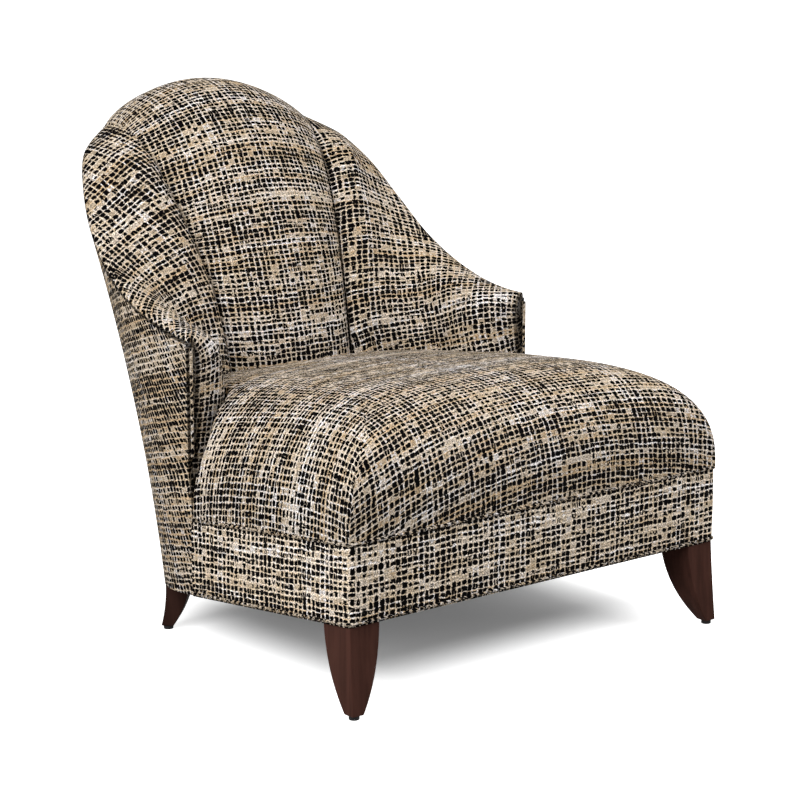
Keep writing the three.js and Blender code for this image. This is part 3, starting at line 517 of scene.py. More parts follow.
def woodMaterial(name, light, dark, roughness, stretch, specular=0.4):
    material, w, shader = newMaterial(name)
    place = w.node("ShaderNodeTexCoord").outputs["Object"]
    drawn = w.node("ShaderNodeMapping", {"Vector": place, "Scale": stretch}).outputs[0]
    grain = w.noise(drawn, 60.0, 5.0, 0.62)[0]
    pores = w.noise(drawn, 240.0, 2.0, 0.5)[0]
    cloud = w.noise(place, 9.0, 2.0)[0]
    blendBy = w.sum("ADD", w.sum("MULTIPLY", grain, 0.7), w.sum("MULTIPLY", cloud, 0.3))
    colour = w.blend(w.ramp(blendBy, 0.36, 0.64), dark, light)
    w.tree.links.new(colour, shader.inputs["Base Color"])
    w.tree.links.new(w.ramp(pores, 0.3, 0.7, roughness - 0.05, roughness + 0.08), shader.inputs["Roughness"])
    bump = w.node("ShaderNodeBump", {"Height": pores, "Strength": 0.12, "Distance": 0.0003})
    w.tree.links.new(bump.outputs[0], shader.inputs["Normal"])
    shader.inputs["Specular IOR Level"].default_value = specular
    return material


legFinish = woodMaterial("espresso wood", (0.062, 0.026, 0.0195, 1), (0.036, 0.0155, 0.0115, 1), 0.5, (1, 1, 0.07), 0.01)
# the same wood darkened for the rear legs, which stand in the body's shade: painted shade
shadedRearLegFinish = woodMaterial("espresso wood with painted shade", (0.037, 0.017, 0.013, 1), (0.022, 0.010, 0.008, 1), 0.5, (1, 1, 0.07), 0.01)
frameFinish = woodMaterial("frame hardwood", (0.52, 0.36, 0.20, 1), (0.38, 0.24, 0.12, 1), 0.62, (0.1, 1, 1))


def plainMaterial(name, colour, deep, scale, roughness, metallic=0.0, bumpSize=0.0004, specular=0.5):
    material, w, shader = newMaterial(name)
    place = w.node("ShaderNodeTexCoord").outputs["Object"]
    speck = w.noise(place, scale, 3.0)[0]
    w.tree.links.new(w.blend(w.ramp(speck, 0.3, 0.7), deep, colour), shader.inputs["Base Color"])
    w.tree.links.new(w.ramp(speck, 0.3, 0.7, roughness - 0.06, roughness + 0.06), shader.inputs["Roughness"])
    bump = w.node("ShaderNodeBump", {"Height": speck, "Strength": 0.3, "Distance": bumpSize})
    w.tree.links.new(bump.outputs[0], shader.inputs["Normal"])
    shader.inputs["Metallic"].default_value = metallic
    shader.inputs["Specular IOR Level"].default_value = specular
    return material


def clothMaterial(name, light, dark, threads):  # plain weave on Object coordinates, for hidden cloths
    material, w, shader = newMaterial(name)
    place = w.node("ShaderNodeTexCoord").outputs["Object"]
    one = w.node("ShaderNodeTexWave", {"Vector": place, "Scale": threads, "Distortion": 0.6}, bands_direction="X").outputs[1]
    two = w.node("ShaderNodeTexWave", {"Vector": place, "Scale": threads, "Distortion": 0.6}, bands_direction="Y").outputs[1]
    woven = w.sum("MULTIPLY", one, two)
    w.tree.links.new(w.blend(woven, dark, light), shader.inputs["Base Color"])
    bump = w.node("ShaderNodeBump", {"Height": woven, "Strength": 0.4, "Distance": 0.0004})
    w.tree.links.new(bump.outputs[0], shader.inputs["Normal"])
    shader.inputs["Roughness"].default_value = 0.95
    return material


foamFinish = plainMaterial("cushion foam", (0.80, 0.72, 0.52, 1), (0.68, 0.58, 0.38, 1), 420.0, 0.9)
steelFinish = plainMaterial("spring steel", (0.45, 0.46, 0.48, 1), (0.30, 0.30, 0.32, 1), 90.0, 0.36, 1.0)
boltFinish = plainMaterial("zinc steel", (0.62, 0.62, 0.60, 1), (0.46, 0.46, 0.45, 1), 140.0, 0.32, 1.0)
glideFinish = plainMaterial("glide plastic", (0.016, 0.015, 0.015, 1), (0.010, 0.009, 0.009, 1), 300.0, 0.6, specular=0.1)
webFinish = clothMaterial("jute webbing", (0.42, 0.31, 0.17, 1), (0.22, 0.15, 0.08, 1), 120.0)
deckFinish = clothMaterial("deck cloth", (0.40, 0.34, 0.25, 1), (0.24, 0.20, 0.14, 1), 160.0)
dustFinish = clothMaterial("black cambric", (0.030, 0.030, 0.032, 1), (0.010, 0.010, 0.011, 1), 220.0)
print("finishes made")


# ---- back: the proud centre panel and the two wings

centrePanel = dict(columns=84, faceRows=84, rollRows=44, fill=0.85, edgeGap=1.6)


def backOfPad(around, rowsOnFace, rowsOnRoll, clearOfFrame):
    seamZ = wallFace(around, 1)[..., 2]
    low, high = padLow(around), seamZ - 33.5
    depth = np.where(clearOfFrame, 9.0, 36.0)
    column = [pointAtHeight(around, mix(low, high, r / (rowsOnFace - 1)), depth) for r in range(rowsOnFace)]
    turnRows = max(1, rowsOnRoll // 3)
    for r in range(1, rowsOnRoll + 1):
        across = mix(depth, 9.0, min(r / turnRows, 1.0))
        rise = max(r - turnRows, 0) / (rowsOnRoll - turnRows)
        column.append(pointAtHeight(around, mix(high, seamZ + 0.6, rise), across))
    return np.stack(column)


def seamPoint(around, depth=0.0):
    point = wallPoint(around, 1.0, depth)
    point[..., 2] += 0.6
    return point


def makeCentrePanel():
    p = centrePanel
    across = np.sin(np.linspace(-1, 1, p["columns"] + 1) * math.pi / 2)
    edge = np.abs(across)
    proud, arch = (1 - edge ** 2.4) ** 0.6, (1 - edge ** 2) ** 0.9
    highZ = seamCurve(1 - grooveAt)[2] - rollDrop
    shares = [shareAtHeight(mix(232, highZ, r / (p["faceRows"] - 1))) for r in range(p["faceRows"])]
    shares += [mix(rollStart, 1, r / p["rollRows"]) for r in range(1, p["rollRows"] + 1)]
    grid = []
    for share in shares:
        groove, middle = grooveCurve(share), middleCurve(share)
        grid.append(np.stack([across * (groove[0] - p["edgeGap"]), mix(groove[1], middle[1], proud),
                              mix(groove[2], middle[2], arch)], -1))
    front = np.stack(grid)
    front[-1] = seamPoint(across * (grooveAt - 0.003))
    inside = (1 - edge ** 4)[None, :] * clamp(np.arange(len(front))[::-1] / 12)[:, None]
    front[..., 1] += ripple(front, 2.4, 7.0, 3.1) * inside
    back = backOfPad(across * (grooveAt - 0.003), p["faceRows"], p["rollRows"], False)
    run = arcAlong(front, 1)
    middleColumn = p["columns"] // 2
    u = run - run[:, middleColumn:middleColumn + 1]
    rise = arcAlong(front, 0)[:, middleColumn:middleColumn + 1]
    v = np.broadcast_to(rise, u.shape)
    return padBetween("centre_back_panel", front, back, np.stack([u, v], -1)), front, v[:, 0]


centrePiece, centreFront, centreRise = makeCentrePanel()
fit(centrePiece, "centre_back_cover", coverFinish)

wing = dict(
    faceColumns=78, noseColumns=26, faceRows=72, rollRows=40, thickness=66.0, armThickness=106.0,
    swell=22.0, sweepHeight=125.0, sweepFromGroove=72.0, sweepToArm=(8.0, 105.0), noseInset=16.0, rollRise=24.0, fill=0.85,
    easeFrom=415.0, easeRounds=260,
    leftTurns=(4, -4, -6, -22), rightTurns=(7, -1, -9, -12),  # lean of the weave from groove to nose, in degrees
    leftTopTurn=0, rightTopTurn=20,  # and how much more it leans at the crest
)


def wingFace(a, z):  # inner face of the right wing at a height
    a, z = np.broadcast_arrays(np.asarray(a, float), np.asarray(z, float))
    groove = grooveCurve(shareAtHeight(z))
    depth = mix(wing["thickness"], wing["armThickness"], smoothStep((a - 0.5) / 0.36))
    face = pointAtHeight(a, z, depth)
    beside = pointAtHeight(np.full_like(z, grooveAt), z, wing["thickness"])
    toGroove = (1 - smoothStep((a - grooveAt) / 0.32))[..., None]
    face[..., :2] += (groove - beside)[..., :2] * toGroove
    arm = pointAtHeight(np.full_like(z, noseAt), z, wing["armThickness"])[..., :2]
    share = clamp((a - grooveAt) / (noseAt - grooveAt))[..., None]
    first = groove[..., :2]
    second = first + np.array([wing["sweepFromGroove"], 0.0])
    third = arm + np.array(wing["sweepToArm"])
    sweep = ((1 - share) ** 3 * first + 3 * (1 - share) ** 2 * share * second
             + 3 * (1 - share) * share ** 2 * third + share ** 3 * arm)
    belowCrest = wallFace(a, 1)[..., 2] - rollDrop - z
    face[..., :2] = mix(face[..., :2], sweep, smoothStep(belowCrest / wing["sweepHeight"])[..., None])
    rise = np.sqrt(1 - (1 - clamp((a - grooveAt) / 0.1)) ** 2)
    face[..., 1] -= wing["swell"] * rise * (1 - smoothStep((a - grooveAt) / 0.4))
    face[..., 0] += 1
    return face


def nosePlace(a, z):  # from the arm's inner face round its rounded front
    inner = wingFace(np.full_like(z, noseAt), z)
    low, high = wallFace(1, 0)[2], wallFace(1, 1)[2]
    up = clamp((z - low) / (high - low))
    outerX = np.abs(wallFace(np.full_like(z, noseAt), up)[..., 0])
    frontY = wallFace(np.ones_like(z), up)[..., 1]
    turn = clamp((a - noseAt) / (1 - noseAt)) * (math.pi / 2)
    reach = outerX - inner[..., 0] - wing["noseInset"]
    return np.stack([
        outerX - wing["noseInset"] - reach * np.cos(turn) ** 0.9,
        inner[..., 1] - (inner[..., 1] - frontY) * np.sin(turn) ** 0.9,
        z,
    ], -1)


def eased(front, share, rounds):  # takes hollows and bulges out of a grid, as far as its shares say
    front = front.copy()
    for _ in range(rounds):
        around = (front[:-2, 1:-1] + front[2:, 1:-1] + front[1:-1, :-2] + front[1:-1, 2:]) / 4
        front[1:-1, 1:-1] += (around - front[1:-1, 1:-1]) * share[1:-1, 1:-1, None]
    return front


def makeWing(name, side, weaveTurns, topTurn):
    p = wing
    shares = np.linspace(0, 1, p["faceColumns"] + 1)
    turns = np.linspace(0, 1, p["noseColumns"] + 1)[1:]
    a = np.concatenate([mix(grooveAt + 0.002, noseAt, shares ** 1.2), mix(noseAt, 1.0, turns)])
    onNose = a > noseAt

    def place(z):
        z = np.broadcast_to(np.asarray(z, float), a.shape).copy()
        return np.where(onNose[:, None], nosePlace(a, z), wingFace(np.minimum(a, noseAt), z))

    seam, low = seamPoint(a), padLow(a)
    high = seam[:, 2] - rollDrop
    rows = [place(mix(low, high, r / (p["faceRows"] - 1))) for r in range(p["faceRows"])]
    start = rows[-1]
    climb = (start - place(high - 10)) * rollDrop / 10
    end = seamPoint(a, 4 * smoothStep((a - 0.76) / 0.12))
    top = end + np.array([0, 0, p["rollRise"]])
    nearGroove = clamp(1 - (a - grooveAt - 0.002) / 0.09)[:, None] ** 1.5
    for r in range(1, p["rollRows"] + 1):
        t = r / p["rollRows"]
        point = (1 - t) ** 3 * start + 3 * (1 - t) ** 2 * t * (start + climb) + 3 * (1 - t) * t ** 2 * top + t ** 3 * end
        if r < p["rollRows"]:
            valley = grooveCurve(mix(rollStart, 1, t)) + np.array([1.0, 0, 0])
            point = mix(point, valley, nearGroove)
        rows.append(point)
    front = np.stack(rows)
    onRoll = clamp((np.arange(len(rows)) - p["faceRows"] + 1) / p["rollRows"])
    share = smoothStep((front[..., 2] - p["easeFrom"]) / 90) * smoothStep((a - 0.34) / 0.14) * smoothStep((0.95 - a) / 0.12)
    front = eased(front, share * smoothStep(1 - 1.8 * onRoll)[:, None], p["easeRounds"])
    back = backOfPad(a, p["faceRows"], p["rollRows"], a > noseAt)
    turn = np.interp(a, (grooveAt, 0.45, 0.7, 0.92), np.radians(weaveTurns))
    turn = turn + math.radians(topTurn) * smoothStep((front[..., 2] - 480) / 330)
    weave = layCloth(front, turn, p["faceRows"] - 1)
    mirrored = np.array([side, 1, 1])
    # painted shade along the crest row and the nose's end column, where the cloth turns into its seams
    seam_shade = np.zeros(front.shape[:2])
    seam_shade[-1], seam_shade[:, -1] = 1, 1
    seam_shade[-2], seam_shade[:, -2] = np.maximum(seam_shade[-2], 0.6), np.maximum(seam_shade[:, -2], 0.6)
    return padBetween(name, front * mirrored, back * mirrored, weave, seam_shade=seam_shade)


for side, name in ((1, "right"), (-1, "left")):
    piece = makeWing(name + "_wing_pad", side, wing[name + "Turns"], wing[name + "TopTurn"])
    fit(piece, name + "_wing_cover", wingFinish)
print("back made")


# ---- outside of the arms and back

outside = dict(nearFront=(0.9925, 0.9955), nearTop=(0.992, 0.9955, 0.9985), thickness=8.0, rows=60, armColumns=44, backColumns=90, rowsRise=math.radians(10.5))


def makeOutside(name, start, stop, columns, turned):
    around = np.linspace(start, stop, columns + 1)
    if turned:  # closer columns beside the arm's front
        near = turned * np.array(outside["nearFront"])
        around = np.sort(np.concatenate([around, near]))
    ups = np.concatenate([np.linspace(0, 0.985, outside["rows"]), outside["nearTop"]])
    # painted shade along the top rows, and on the arm pieces along the front edge, where the cloth turns into its seams
    seam_shade = np.zeros((len(ups), len(around)))
    seam_shade[-2:] = 1
    if turned:
        seam_shade[:, np.abs(around) > outside["nearFront"][1] - 1e-6] = 1
    front = np.stack([wallPoint(around, np.full_like(around, up), 0.0) for up in ups])
    back = np.stack([wallPoint(around, np.full_like(around, up), outside["thickness"]) for up in ups])
    run = arcAlong(front, 1)
    u = run - run[:, :1] if turned >= 0 else run[:, -1:] - run
    rise = arcAlong(front, 0)
    v = rise
    if turned:
        slope = outside["rowsRise"]
        toFront = u
        u, v = toFront * math.cos(slope) + v * math.sin(slope), front[..., 2] * mm * math.cos(slope) - toFront * math.sin(slope)
    return padBetween(name, front, back, np.stack([u, v], -1), seam_shade=seam_shade)


seamAt = body["coverSeamAt"]
outsidePieces = (
    ("outside_back_cover", "outside_back_panel", -seamAt + 0.0006, seamAt - 0.0006, outside["backColumns"], 0),
    ("outside_right_arm_cover", "outside_right_arm_panel", seamAt + 0.0006, 0.9985, outside["armColumns"], 1),
    ("outside_left_arm_cover", "outside_left_arm_panel", -0.9985, -seamAt - 0.0006, outside["armColumns"], -1),
)
for name, node, start, stop, columns, turned in outsidePieces:
    fit(makeOutside(name, start, stop, columns, turned), node, outsideFinish)
print("outside made")


# ---- seat

seat = dict(
    faceX=401.0, faceY=-401.0, bottomLevel=278.5, crown=230.0, sideShoulder=314.0, frontShoulder=400.0,
    mitreSharpness=9.6, rearFall=0.04, frontRows=76, stepRows=10, rearRows=28, halfColumns=62, rearSpare=3.5,
    step=[(48, 326), (60, 298), (78, 276), (102, 262)], rearHalf=258.0, bow=0.0008, bowAt=90.0, fill=0.9,
)


def shoulderShare(distance, width, fullness):
    rest = 1 - clamp(np.maximum(distance, 0) / width)
    return np.maximum(1 - rest ** fullness, 0) ** (1 / fullness) + 1e-4


def seatShares(x, y):
    sideShare = shoulderShare(seat["faceX"] - np.abs(x), seat["sideShoulder"], 2.3)
    frontShare = shoulderShare(y - seat["faceY"], seat["frontShoulder"], 2.96)
    return sideShare, frontShare


def seatCrown(x, y):
    sideShare, frontShare = seatShares(x, y)
    s = seat["mitreSharpness"]
    joined = (sideShare ** -s + frontShare ** -s) ** (-1 / s)
    return seat["crown"] * joined * (1 - seat["rearFall"] * (np.maximum(y, 0) / 250) ** 2)


def backPadLine(z):  # where the back pads' faces stand at a height, from the middle to the arm
    groove, middle = grooveCurve(shareAtHeight(z)), middleCurve(shareAtHeight(z))
    k = np.linspace(0, 1, 17)
    line = [np.stack([groove[0] * k, mix(groove[1], middle[1], (1 - k ** 2.4) ** 0.6)], -1)]
    a = np.linspace(grooveAt, noseAt, 60)[1:]
    line.append(wingFace(a, np.full_like(a, z))[:, :2])
    return np.concatenate(line)


def rearLimit(x):
    found = [np.interp(np.abs(x), line[:, 0], line[:, 1]) for line in padLines]
    return np.min(found, axis=0) - seat["rearSpare"]


padLines = [backPadLine(z) for z in (240, 300, 360, 415)]


def seatRows():
    p = seat
    across = np.sin(np.linspace(-1, 1, 2 * p["halfColumns"] + 1) * math.pi / 2)
    rows = []
    for r in range(p["frontRows"] + 1):
        x = across * p["faceX"]
        stepY = 44 - 34 * smoothStep((np.abs(x) - 315) / 65)
        rows.append((x, mix(p["faceY"], stepY, 1 - math.cos(r / p["frontRows"] * math.pi / 2))))
    depths, halves = [d for d, _ in p["step"]], [h for _, h in p["step"]]
    for y in np.linspace(depths[0], depths[-1], p["stepRows"]):
        rows.append((across * np.interp(y, depths, halves), np.full_like(across, y)))
    for r in range(1, p["rearRows"] + 1):
        x = across * p["rearHalf"]
        rows.append((x, mix(depths[-1], rearLimit(x), r / p["rearRows"])))
    return np.array([x for x, _ in rows]), np.array([y for _, y in rows])


def makeSeat():
    p = seat
    x, y = seatRows()
    rise = seatCrown(x, y) + 0.8
    level = p["bottomLevel"]
    top = np.stack([x, y, heightAt(level + rise, y)], -1)
    inside = clamp((seat["faceX"] - np.abs(x)) / 60) * clamp((y - seat["faceY"]) / 60)
    top[..., 2] += ripple(top, 3.0, 6.0, 9.7) * inside
    under = np.stack([x, y, heightAt(level, y)], -1)
    # weave: straight over the top, down the front and down the sides, and cut along the mitres
    line = p["faceX"] * (1 - np.linspace(1, 0, 500) ** 5)
    sideRise = p["crown"] * seatShares(line, np.zeros_like(line))[0]
    sideArc = np.concatenate([[0], np.cumsum(np.hypot(np.diff(line), np.diff(sideRise)))])
    depthLine = p["faceY"] * (1 - np.linspace(0, 1, 500) ** 5)
    frontRise = p["crown"] * seatShares(np.zeros_like(depthLine), depthLine)[1]
    frontArc = np.concatenate([[0], np.cumsum(np.hypot(np.diff(depthLine), np.diff(frontRise)))])
    sideShare, frontShare = seatShares(x, y)
    bowed = p["bow"] / 2 * (x - p["bowAt"]) ** 2
    ahead = np.where(y < 0, np.interp(y, depthLine, frontArc) - frontArc[-1], y)
    reach = np.interp(np.abs(x), line, sideArc) - p["bow"] / 2 * (y + 180) ** 2 * smoothStep((np.abs(x) - 150) / 250)
    forward = np.stack([x, ahead + bowed], -1) * mm
    sideways = np.stack([np.sign(x) * reach, y + bowed], -1) * mm
    return padBetween("seat_cushion", top, under, forward, (sideways, sideShare < frontShare))


seatPiece = makeSeat()
fit(seatPiece, "seat_cushion_cover", seatFinish)
print("seat made")


# ---- base band and welts

band = dict(faceX=401.0, faceY=-401.0, endY=14.0, cornerRadius=9.0, thickness=8.0, topLevel=276.0, rows=26, swell=1.2)


def baseLine(inset, spacing=8.0):
    x, y = band["faceX"] - inset, band["faceY"] + inset
    radius = max(band["cornerRadius"] - inset, 1.0)
    side = np.linspace(band["endY"], y + radius, int((band["endY"] - band["faceY"]) / spacing))
    turn = np.linspace(0, math.pi / 2, 9)[1:-1]
    cornerX, cornerY = x - radius + radius * np.cos(turn), y + radius - radius * np.sin(turn)
    front = np.linspace(-(x - radius), x - radius, int(2 * band["faceX"] / spacing))
    left = [(-x, s) for s in side] + [(-cx, cy) for cx, cy in zip(cornerX, cornerY)]
    right = [(-px, py) for px, py in left][::-1]
    return np.array(left + [(f, y) for f in front] + right)


def makeBand():
    p = band
    outer, inner = baseLine(0.0), baseLine(p["thickness"])
    shares = np.linspace(0, 1, p["rows"] + 1)
    levels = mix(body["hemLevel"], p["topLevel"], shares)
    swell = p["swell"] * np.sin(shares * math.pi) ** 0.6
    length = arcAlong(outer, 0)
    front, back = [], []
    for level, out in zip(levels, swell):
        line = baseLine(-out)
        front.append(np.column_stack([line, heightAt(level, line[:, 1])]))
        back.append(np.column_stack([inner, heightAt(level, inner[:, 1])]))
    front, back = np.array(front), np.array(back)
    u = np.broadcast_to(length - length[len(length) // 2], front.shape[:2])
    v = np.broadcast_to((levels * mm)[:, None], front.shape[:2])
    return padBetween("base_band_cover", front, back, np.stack([u, v], -1))


fit(makeBand(), "base_band", bandFinish)

welts = dict(radius=2.8, proud=1.0, hemLift=5.0)


def baseWelt(name, level):
    line = baseLine(-welts["proud"], 5.0)
    return weltAlong(name, np.column_stack([line, heightAt(level, line[:, 1])]), welts["radius"])


fit(baseWelt("seat_seam_cord", body["seamLevel"]), "seat_seam_welt", weltFinish)
fit(baseWelt("front_hem_cord", body["hemLevel"] + welts["hemLift"]), "front_hem_welt", weltFinish)
for name, side in (("left", -1), ("right", 1)):
    line = wallFace(np.full(40, float(side)), np.linspace(0.54, 0.985, 40))
    line[:, 0] -= side * 4.8
    line[:, 1] -= welts["radius"] + 2
    piece = weltAlong(name + "_arm_front_cord", line, welts["radius"], up=(0, 1, 0))
    fit(piece, name + "_arm_front_welt", weltFinish)
print("band and welts made")


# ---- legs

legs = dict(topLevel=146.4, endZ=7.0, foot=22.0, bevel=1.6, steps=22,
            frontTop=(58.0, 66.0), frontFoot=(391.0, -398.0), outerTop=398.5,
            rearTop=(41.0, 46.0), rearFoot=(344.0, 173.0), rearFootSize=21.0, flare=21.0)


def frontSection(share):
    taper = 0.55 * share ** 1.5 + 0.45 * share ** 3.2
    sizeX, sizeY = mix(legs["frontTop"][0], legs["foot"], taper), mix(legs["frontTop"][1], legs["foot"], taper)
    lean = share ** 1.2
    outerX = mix(legs["outerTop"], legs["frontFoot"][0] + legs["foot"] / 2, lean)
    outerY = mix(-legs["outerTop"], legs["frontFoot"][1] - legs["foot"] / 2, lean)
    return (outerX - sizeX / 2, outerY + sizeY / 2), sizeX / 2, sizeY / 2, 0.0


def rearSection(share):
    taper = 0.35 * share + 0.65 * share ** 2
    back = legs["flare"] * (1 - share ** 1.9) * math.sqrt(0.5)
    centre = (legs["rearFoot"][0] - back, legs["rearFoot"][1] - back)
    return centre, mix(legs["rearTop"][0], legs["rearFootSize"], taper) / 2, mix(legs["rearTop"][1], legs["rearFootSize"], taper) / 2, math.pi / 4


def makeLeg(name, section):  # a cube cut into levels and drawn down through its sections, with its edges eased
    bm = bmesh.new()
    bmesh.ops.create_cube(bm, size=1.0)
    upright = [e for e in bm.edges if abs(e.verts[0].co.z - e.verts[1].co.z) > 0.5]
    bmesh.ops.subdivide_edges(bm, edges=upright, cuts=legs["steps"] - 1, use_grid_fill=True)
    for vert in bm.verts:
        share = 0.5 - vert.co.z
        centre, halfX, halfY, turn = section(share)
        dx, dy = 2 * vert.co.x * halfX, 2 * vert.co.y * halfY
        x = centre[0] + dx * math.cos(turn) - dy * math.sin(turn)
        y = centre[1] + dx * math.sin(turn) + dy * math.cos(turn)
        z = mix(heightAt(legs["topLevel"], y), legs["endZ"], share)
        vert.co = Vector((x, y + body["depthShift"], z)) * mm
    bmesh.ops.recalc_face_normals(bm, faces=bm.faces[:])
    sharp = [e for e in bm.edges if len(e.link_faces) == 2 and e.calc_face_angle(0) > math.radians(50)]
    bmesh.ops.bevel(bm, geom=sharp, offset=legs["bevel"] * mm, segments=3, profile=0.5, affect="EDGES", material=-1)
    bmesh.ops.recalc_face_normals(bm, faces=bm.faces[:])
    for made in bm.faces:
        made.smooth = True
    return finishMesh(name, bm)


glide = dict(radius=8.5, height=6.6, bevel=1.2)


def makeGlide(name, x, y):
    bm = bmesh.new()
    made = bmesh.ops.create_cone(bm, cap_ends=True, segments=32, radius1=glide["radius"] * mm, radius2=glide["radius"] * mm,
                                 depth=glide["height"] * mm)
    bmesh.ops.translate(bm, verts=made["verts"], vec=(x * mm, (y + body["depthShift"]) * mm, glide["height"] / 2 * mm))
    rims = [e for e in bm.edges if e.calc_face_angle(0) > math.radians(60)]
    bmesh.ops.bevel(bm, geom=rims, offset=glide["bevel"] * mm, segments=3, profile=0.5, affect="EDGES", material=-1)
    for face in bm.faces:
        face.smooth = len(face.verts) == 4
    return finishMesh(name, bm)


for end, section, foot in (("front", frontSection, legs["frontFoot"]), ("rear", rearSection, legs["rearFoot"])):
    rightLeg = makeLeg(end + "_right_leg_turned", section)
    leftLeg = mirroredCopy(rightLeg, end + "_left_leg_turned")
    for leg, name, side in ((rightLeg, "right", 1), (leftLeg, "left", -1)):
        weighted = leg.modifiers.new("even shading", "WEIGHTED_NORMAL")
        weighted.keep_sharp = True
        # the rear legs take the wood with painted shade
        fit(leg, end + "_" + name + "_leg", legFinish if end == "front" else shadedRearLegFinish)
        fit(makeGlide(end + "_" + name + "_glide_foot", side * foot[0], foot[1]), end + "_" + name + "_glide", glideFinish)
print("legs made")


# ---- hidden pieces: foam cores get eased edges, the rest keep their CAD shapes

foamEase = 3.0
for node in ("seat_foam_core", "centre_back_foam", "left_wing_foam", "right_wing_foam"):
    bm = bmesh.new()
    bm.from_mesh(nodes[node].data)
    bmesh.ops.remove_doubles(bm, verts=bm.verts[:], dist=1e-6)
    bmesh.ops.dissolve_limit(bm, angle_limit=math.radians(1), verts=bm.verts[:], edges=bm.edges[:])
    rims = [e for e in bm.edges if len(e.link_faces) == 2 and e.calc_face_angle(0) > math.radians(50)]
    bmesh.ops.bevel(bm, geom=rims, offset=foamEase * mm, segments=2, profile=0.5, affect="EDGES", material=-1)
    piece = finishMesh(node + "_block", bm)
    fit(piece, node, foamFinish)

# stretched cloths: the CAD outline cut into a fine grid, shaded smooth, with a little sag
cloths = dict(
    dust_cover=dict(slot="dust_cloth", finish=dustFinish, grid=24.0, sag=3.0, flat=(0.779, 0.638), area=0.471,
                    on=("front_rail", "left_side_rail", "right_side_rail", "rear_rail")),
    spring_deck=dict(slot="deck_cloth", finish=deckFinish, grid=24.0, sag=0.6, flat=(0.777, 0.650), area=0.469,
                     on=("front_rail", "left_side_rail", "right_side_rail", "rear_rail")),
    back_web_1=dict(slot="webbing", finish=webFinish, grid=12.0, sag=0.0, flat=(0.050, 0.297), area=None,
                    on=("left_back_upright", "right_back_upright")),
    back_web_2=dict(slot="webbing", finish=webFinish, grid=12.0, sag=0.0, flat=(0.051, 0.314), area=None,
                    on=("left_back_upright", "right_back_upright")),
    back_web_3=dict(slot="webbing", finish=webFinish, grid=12.0, sag=0.0, flat=(0.051, 0.333), area=None,
                    on=("left_back_upright", "right_back_upright")),
)


def makeCloth(node, grid, sag):
    bm = bmesh.new()
    bm.from_mesh(nodes[node].data)
    bmesh.ops.remove_doubles(bm, verts=bm.verts[:], dist=1e-6)
    places = np.array([v.co for v in bm.verts])
    low, high = places.min(0), places.max(0)
    for axis, direction in enumerate(((1, 0, 0), (0, 1, 0) if sag else (0, 0, 1))):
        axis = axis if sag or not axis else 2
        for place in np.arange(low[axis] + grid * mm, high[axis] - 2 * mm, grid * mm):
            bmesh.ops.bisect_plane(bm, geom=bm.verts[:] + bm.edges[:] + bm.faces[:], dist=1e-7,
                                   plane_co=[place * d for d in direction], plane_no=direction)
    for vert in bm.verts:
        x, y = ((vert.co[i] - low[i]) / (high[i] - low[i]) for i in (0, 1))
        vert.co.z -= sag * mm * math.sin(math.pi * x) * math.sin(math.pi * y)
    bmesh.ops.recalc_face_normals(bm, faces=bm.faces[:])
    for face in bm.faces:
        face.smooth = True
    for edge in bm.edges:
        edge.smooth = edge.calc_face_angle(0) < math.radians(40)
    return finishMesh(node + "_stretched", bm)


for node, c in cloths.items():
    piece = fit(makeCloth(node, c["grid"], c["sag"]), node, c["finish"])

bolts = dict(frontEnd=118.0, rearEnd=60.0, thread=2.5, groove=0.45, chamfer=1.2, steps=24)


def makeBolt(node, end):  # threaded all along, and ended where the tapered leg still holds it
    p = bolts
    places = np.array([v.co for v in nodes[node].data.vertices]) / mm
    low, high = places.min(0), places.max(0)
    radius = (high[0] - low[0]) / 2
    levels = np.arange(end + p["chamfer"], high[2] - p["chamfer"], p["thread"] / 2)
    profile = [(0, end), (radius - p["chamfer"], end)]
    profile += [(radius - p["groove"] * (i % 2), z) for i, z in enumerate(levels)]
    profile += [(radius - p["chamfer"], high[2]), (0, high[2])]
    bm = bmesh.new()
    verts = [bm.verts.new((r * mm, 0, z * mm)) for r, z in profile]
    edges = [bm.edges.new(pair) for pair in zip(verts, verts[1:])]
    bmesh.ops.spin(bm, geom=verts + edges, cent=(0, 0, 0), axis=(0, 0, 1), angle=2 * math.pi, steps=p["steps"], use_merge=True)
    bmesh.ops.remove_doubles(bm, verts=bm.verts[:], dist=1e-6)
    bmesh.ops.recalc_face_normals(bm, faces=bm.faces[:])
    bmesh.ops.translate(bm, verts=bm.verts[:], vec=Vector(((low[0] + high[0]) / 2, (low[1] + high[1]) / 2, 0)) * mm)
    for face in bm.faces:
        face.smooth = abs(face.normal.z) < 0.9
    return finishMesh(node + "_threaded", bm)


for name in ("front_left", "front_right", "rear_left", "rear_right"):
    node = name + "_hanger_bolt"
    fit(makeBolt(node, bolts[name.split("_")[0] + "End"]), node, boltFinish)

finishes = dict(frame_wood=frameFinish, spring_steel=steelFinish)


def slotOf(name):
    return "spring_steel" if name.startswith("seat_spring") else "frame_wood"


for name, node in nodes.items():
    if not node.hide_render:
        node.data.materials.clear()
        node.data.materials.append(finishes[slotOf(name)])
print("hidden pieces finished")


# ---- floor, light and camera

# the shadow settings dim the floor's glow in a rounded rectangle under the chair, a painted shadow shape
stage = dict(
    shadowHalf=(0.225, 0.17), shadowMiddle=(0.045, -0.095), shadowEdge=0.22, shadowGlow=0.115, worldLight=0.45,
    lamps=[  # name, place, aim, size, watts
        ("left", (-3.0, -1.1, 2.1), (0, 0, 0.4), 2.6, 124),
        ("top", (0.3, -0.2, 3.4), (0, 0, 0.3), 2.2, 46),
        ("right", (2.5, -2.3, 1.6), (0, 0, 0.3), 2.2, 58),
    ],
)


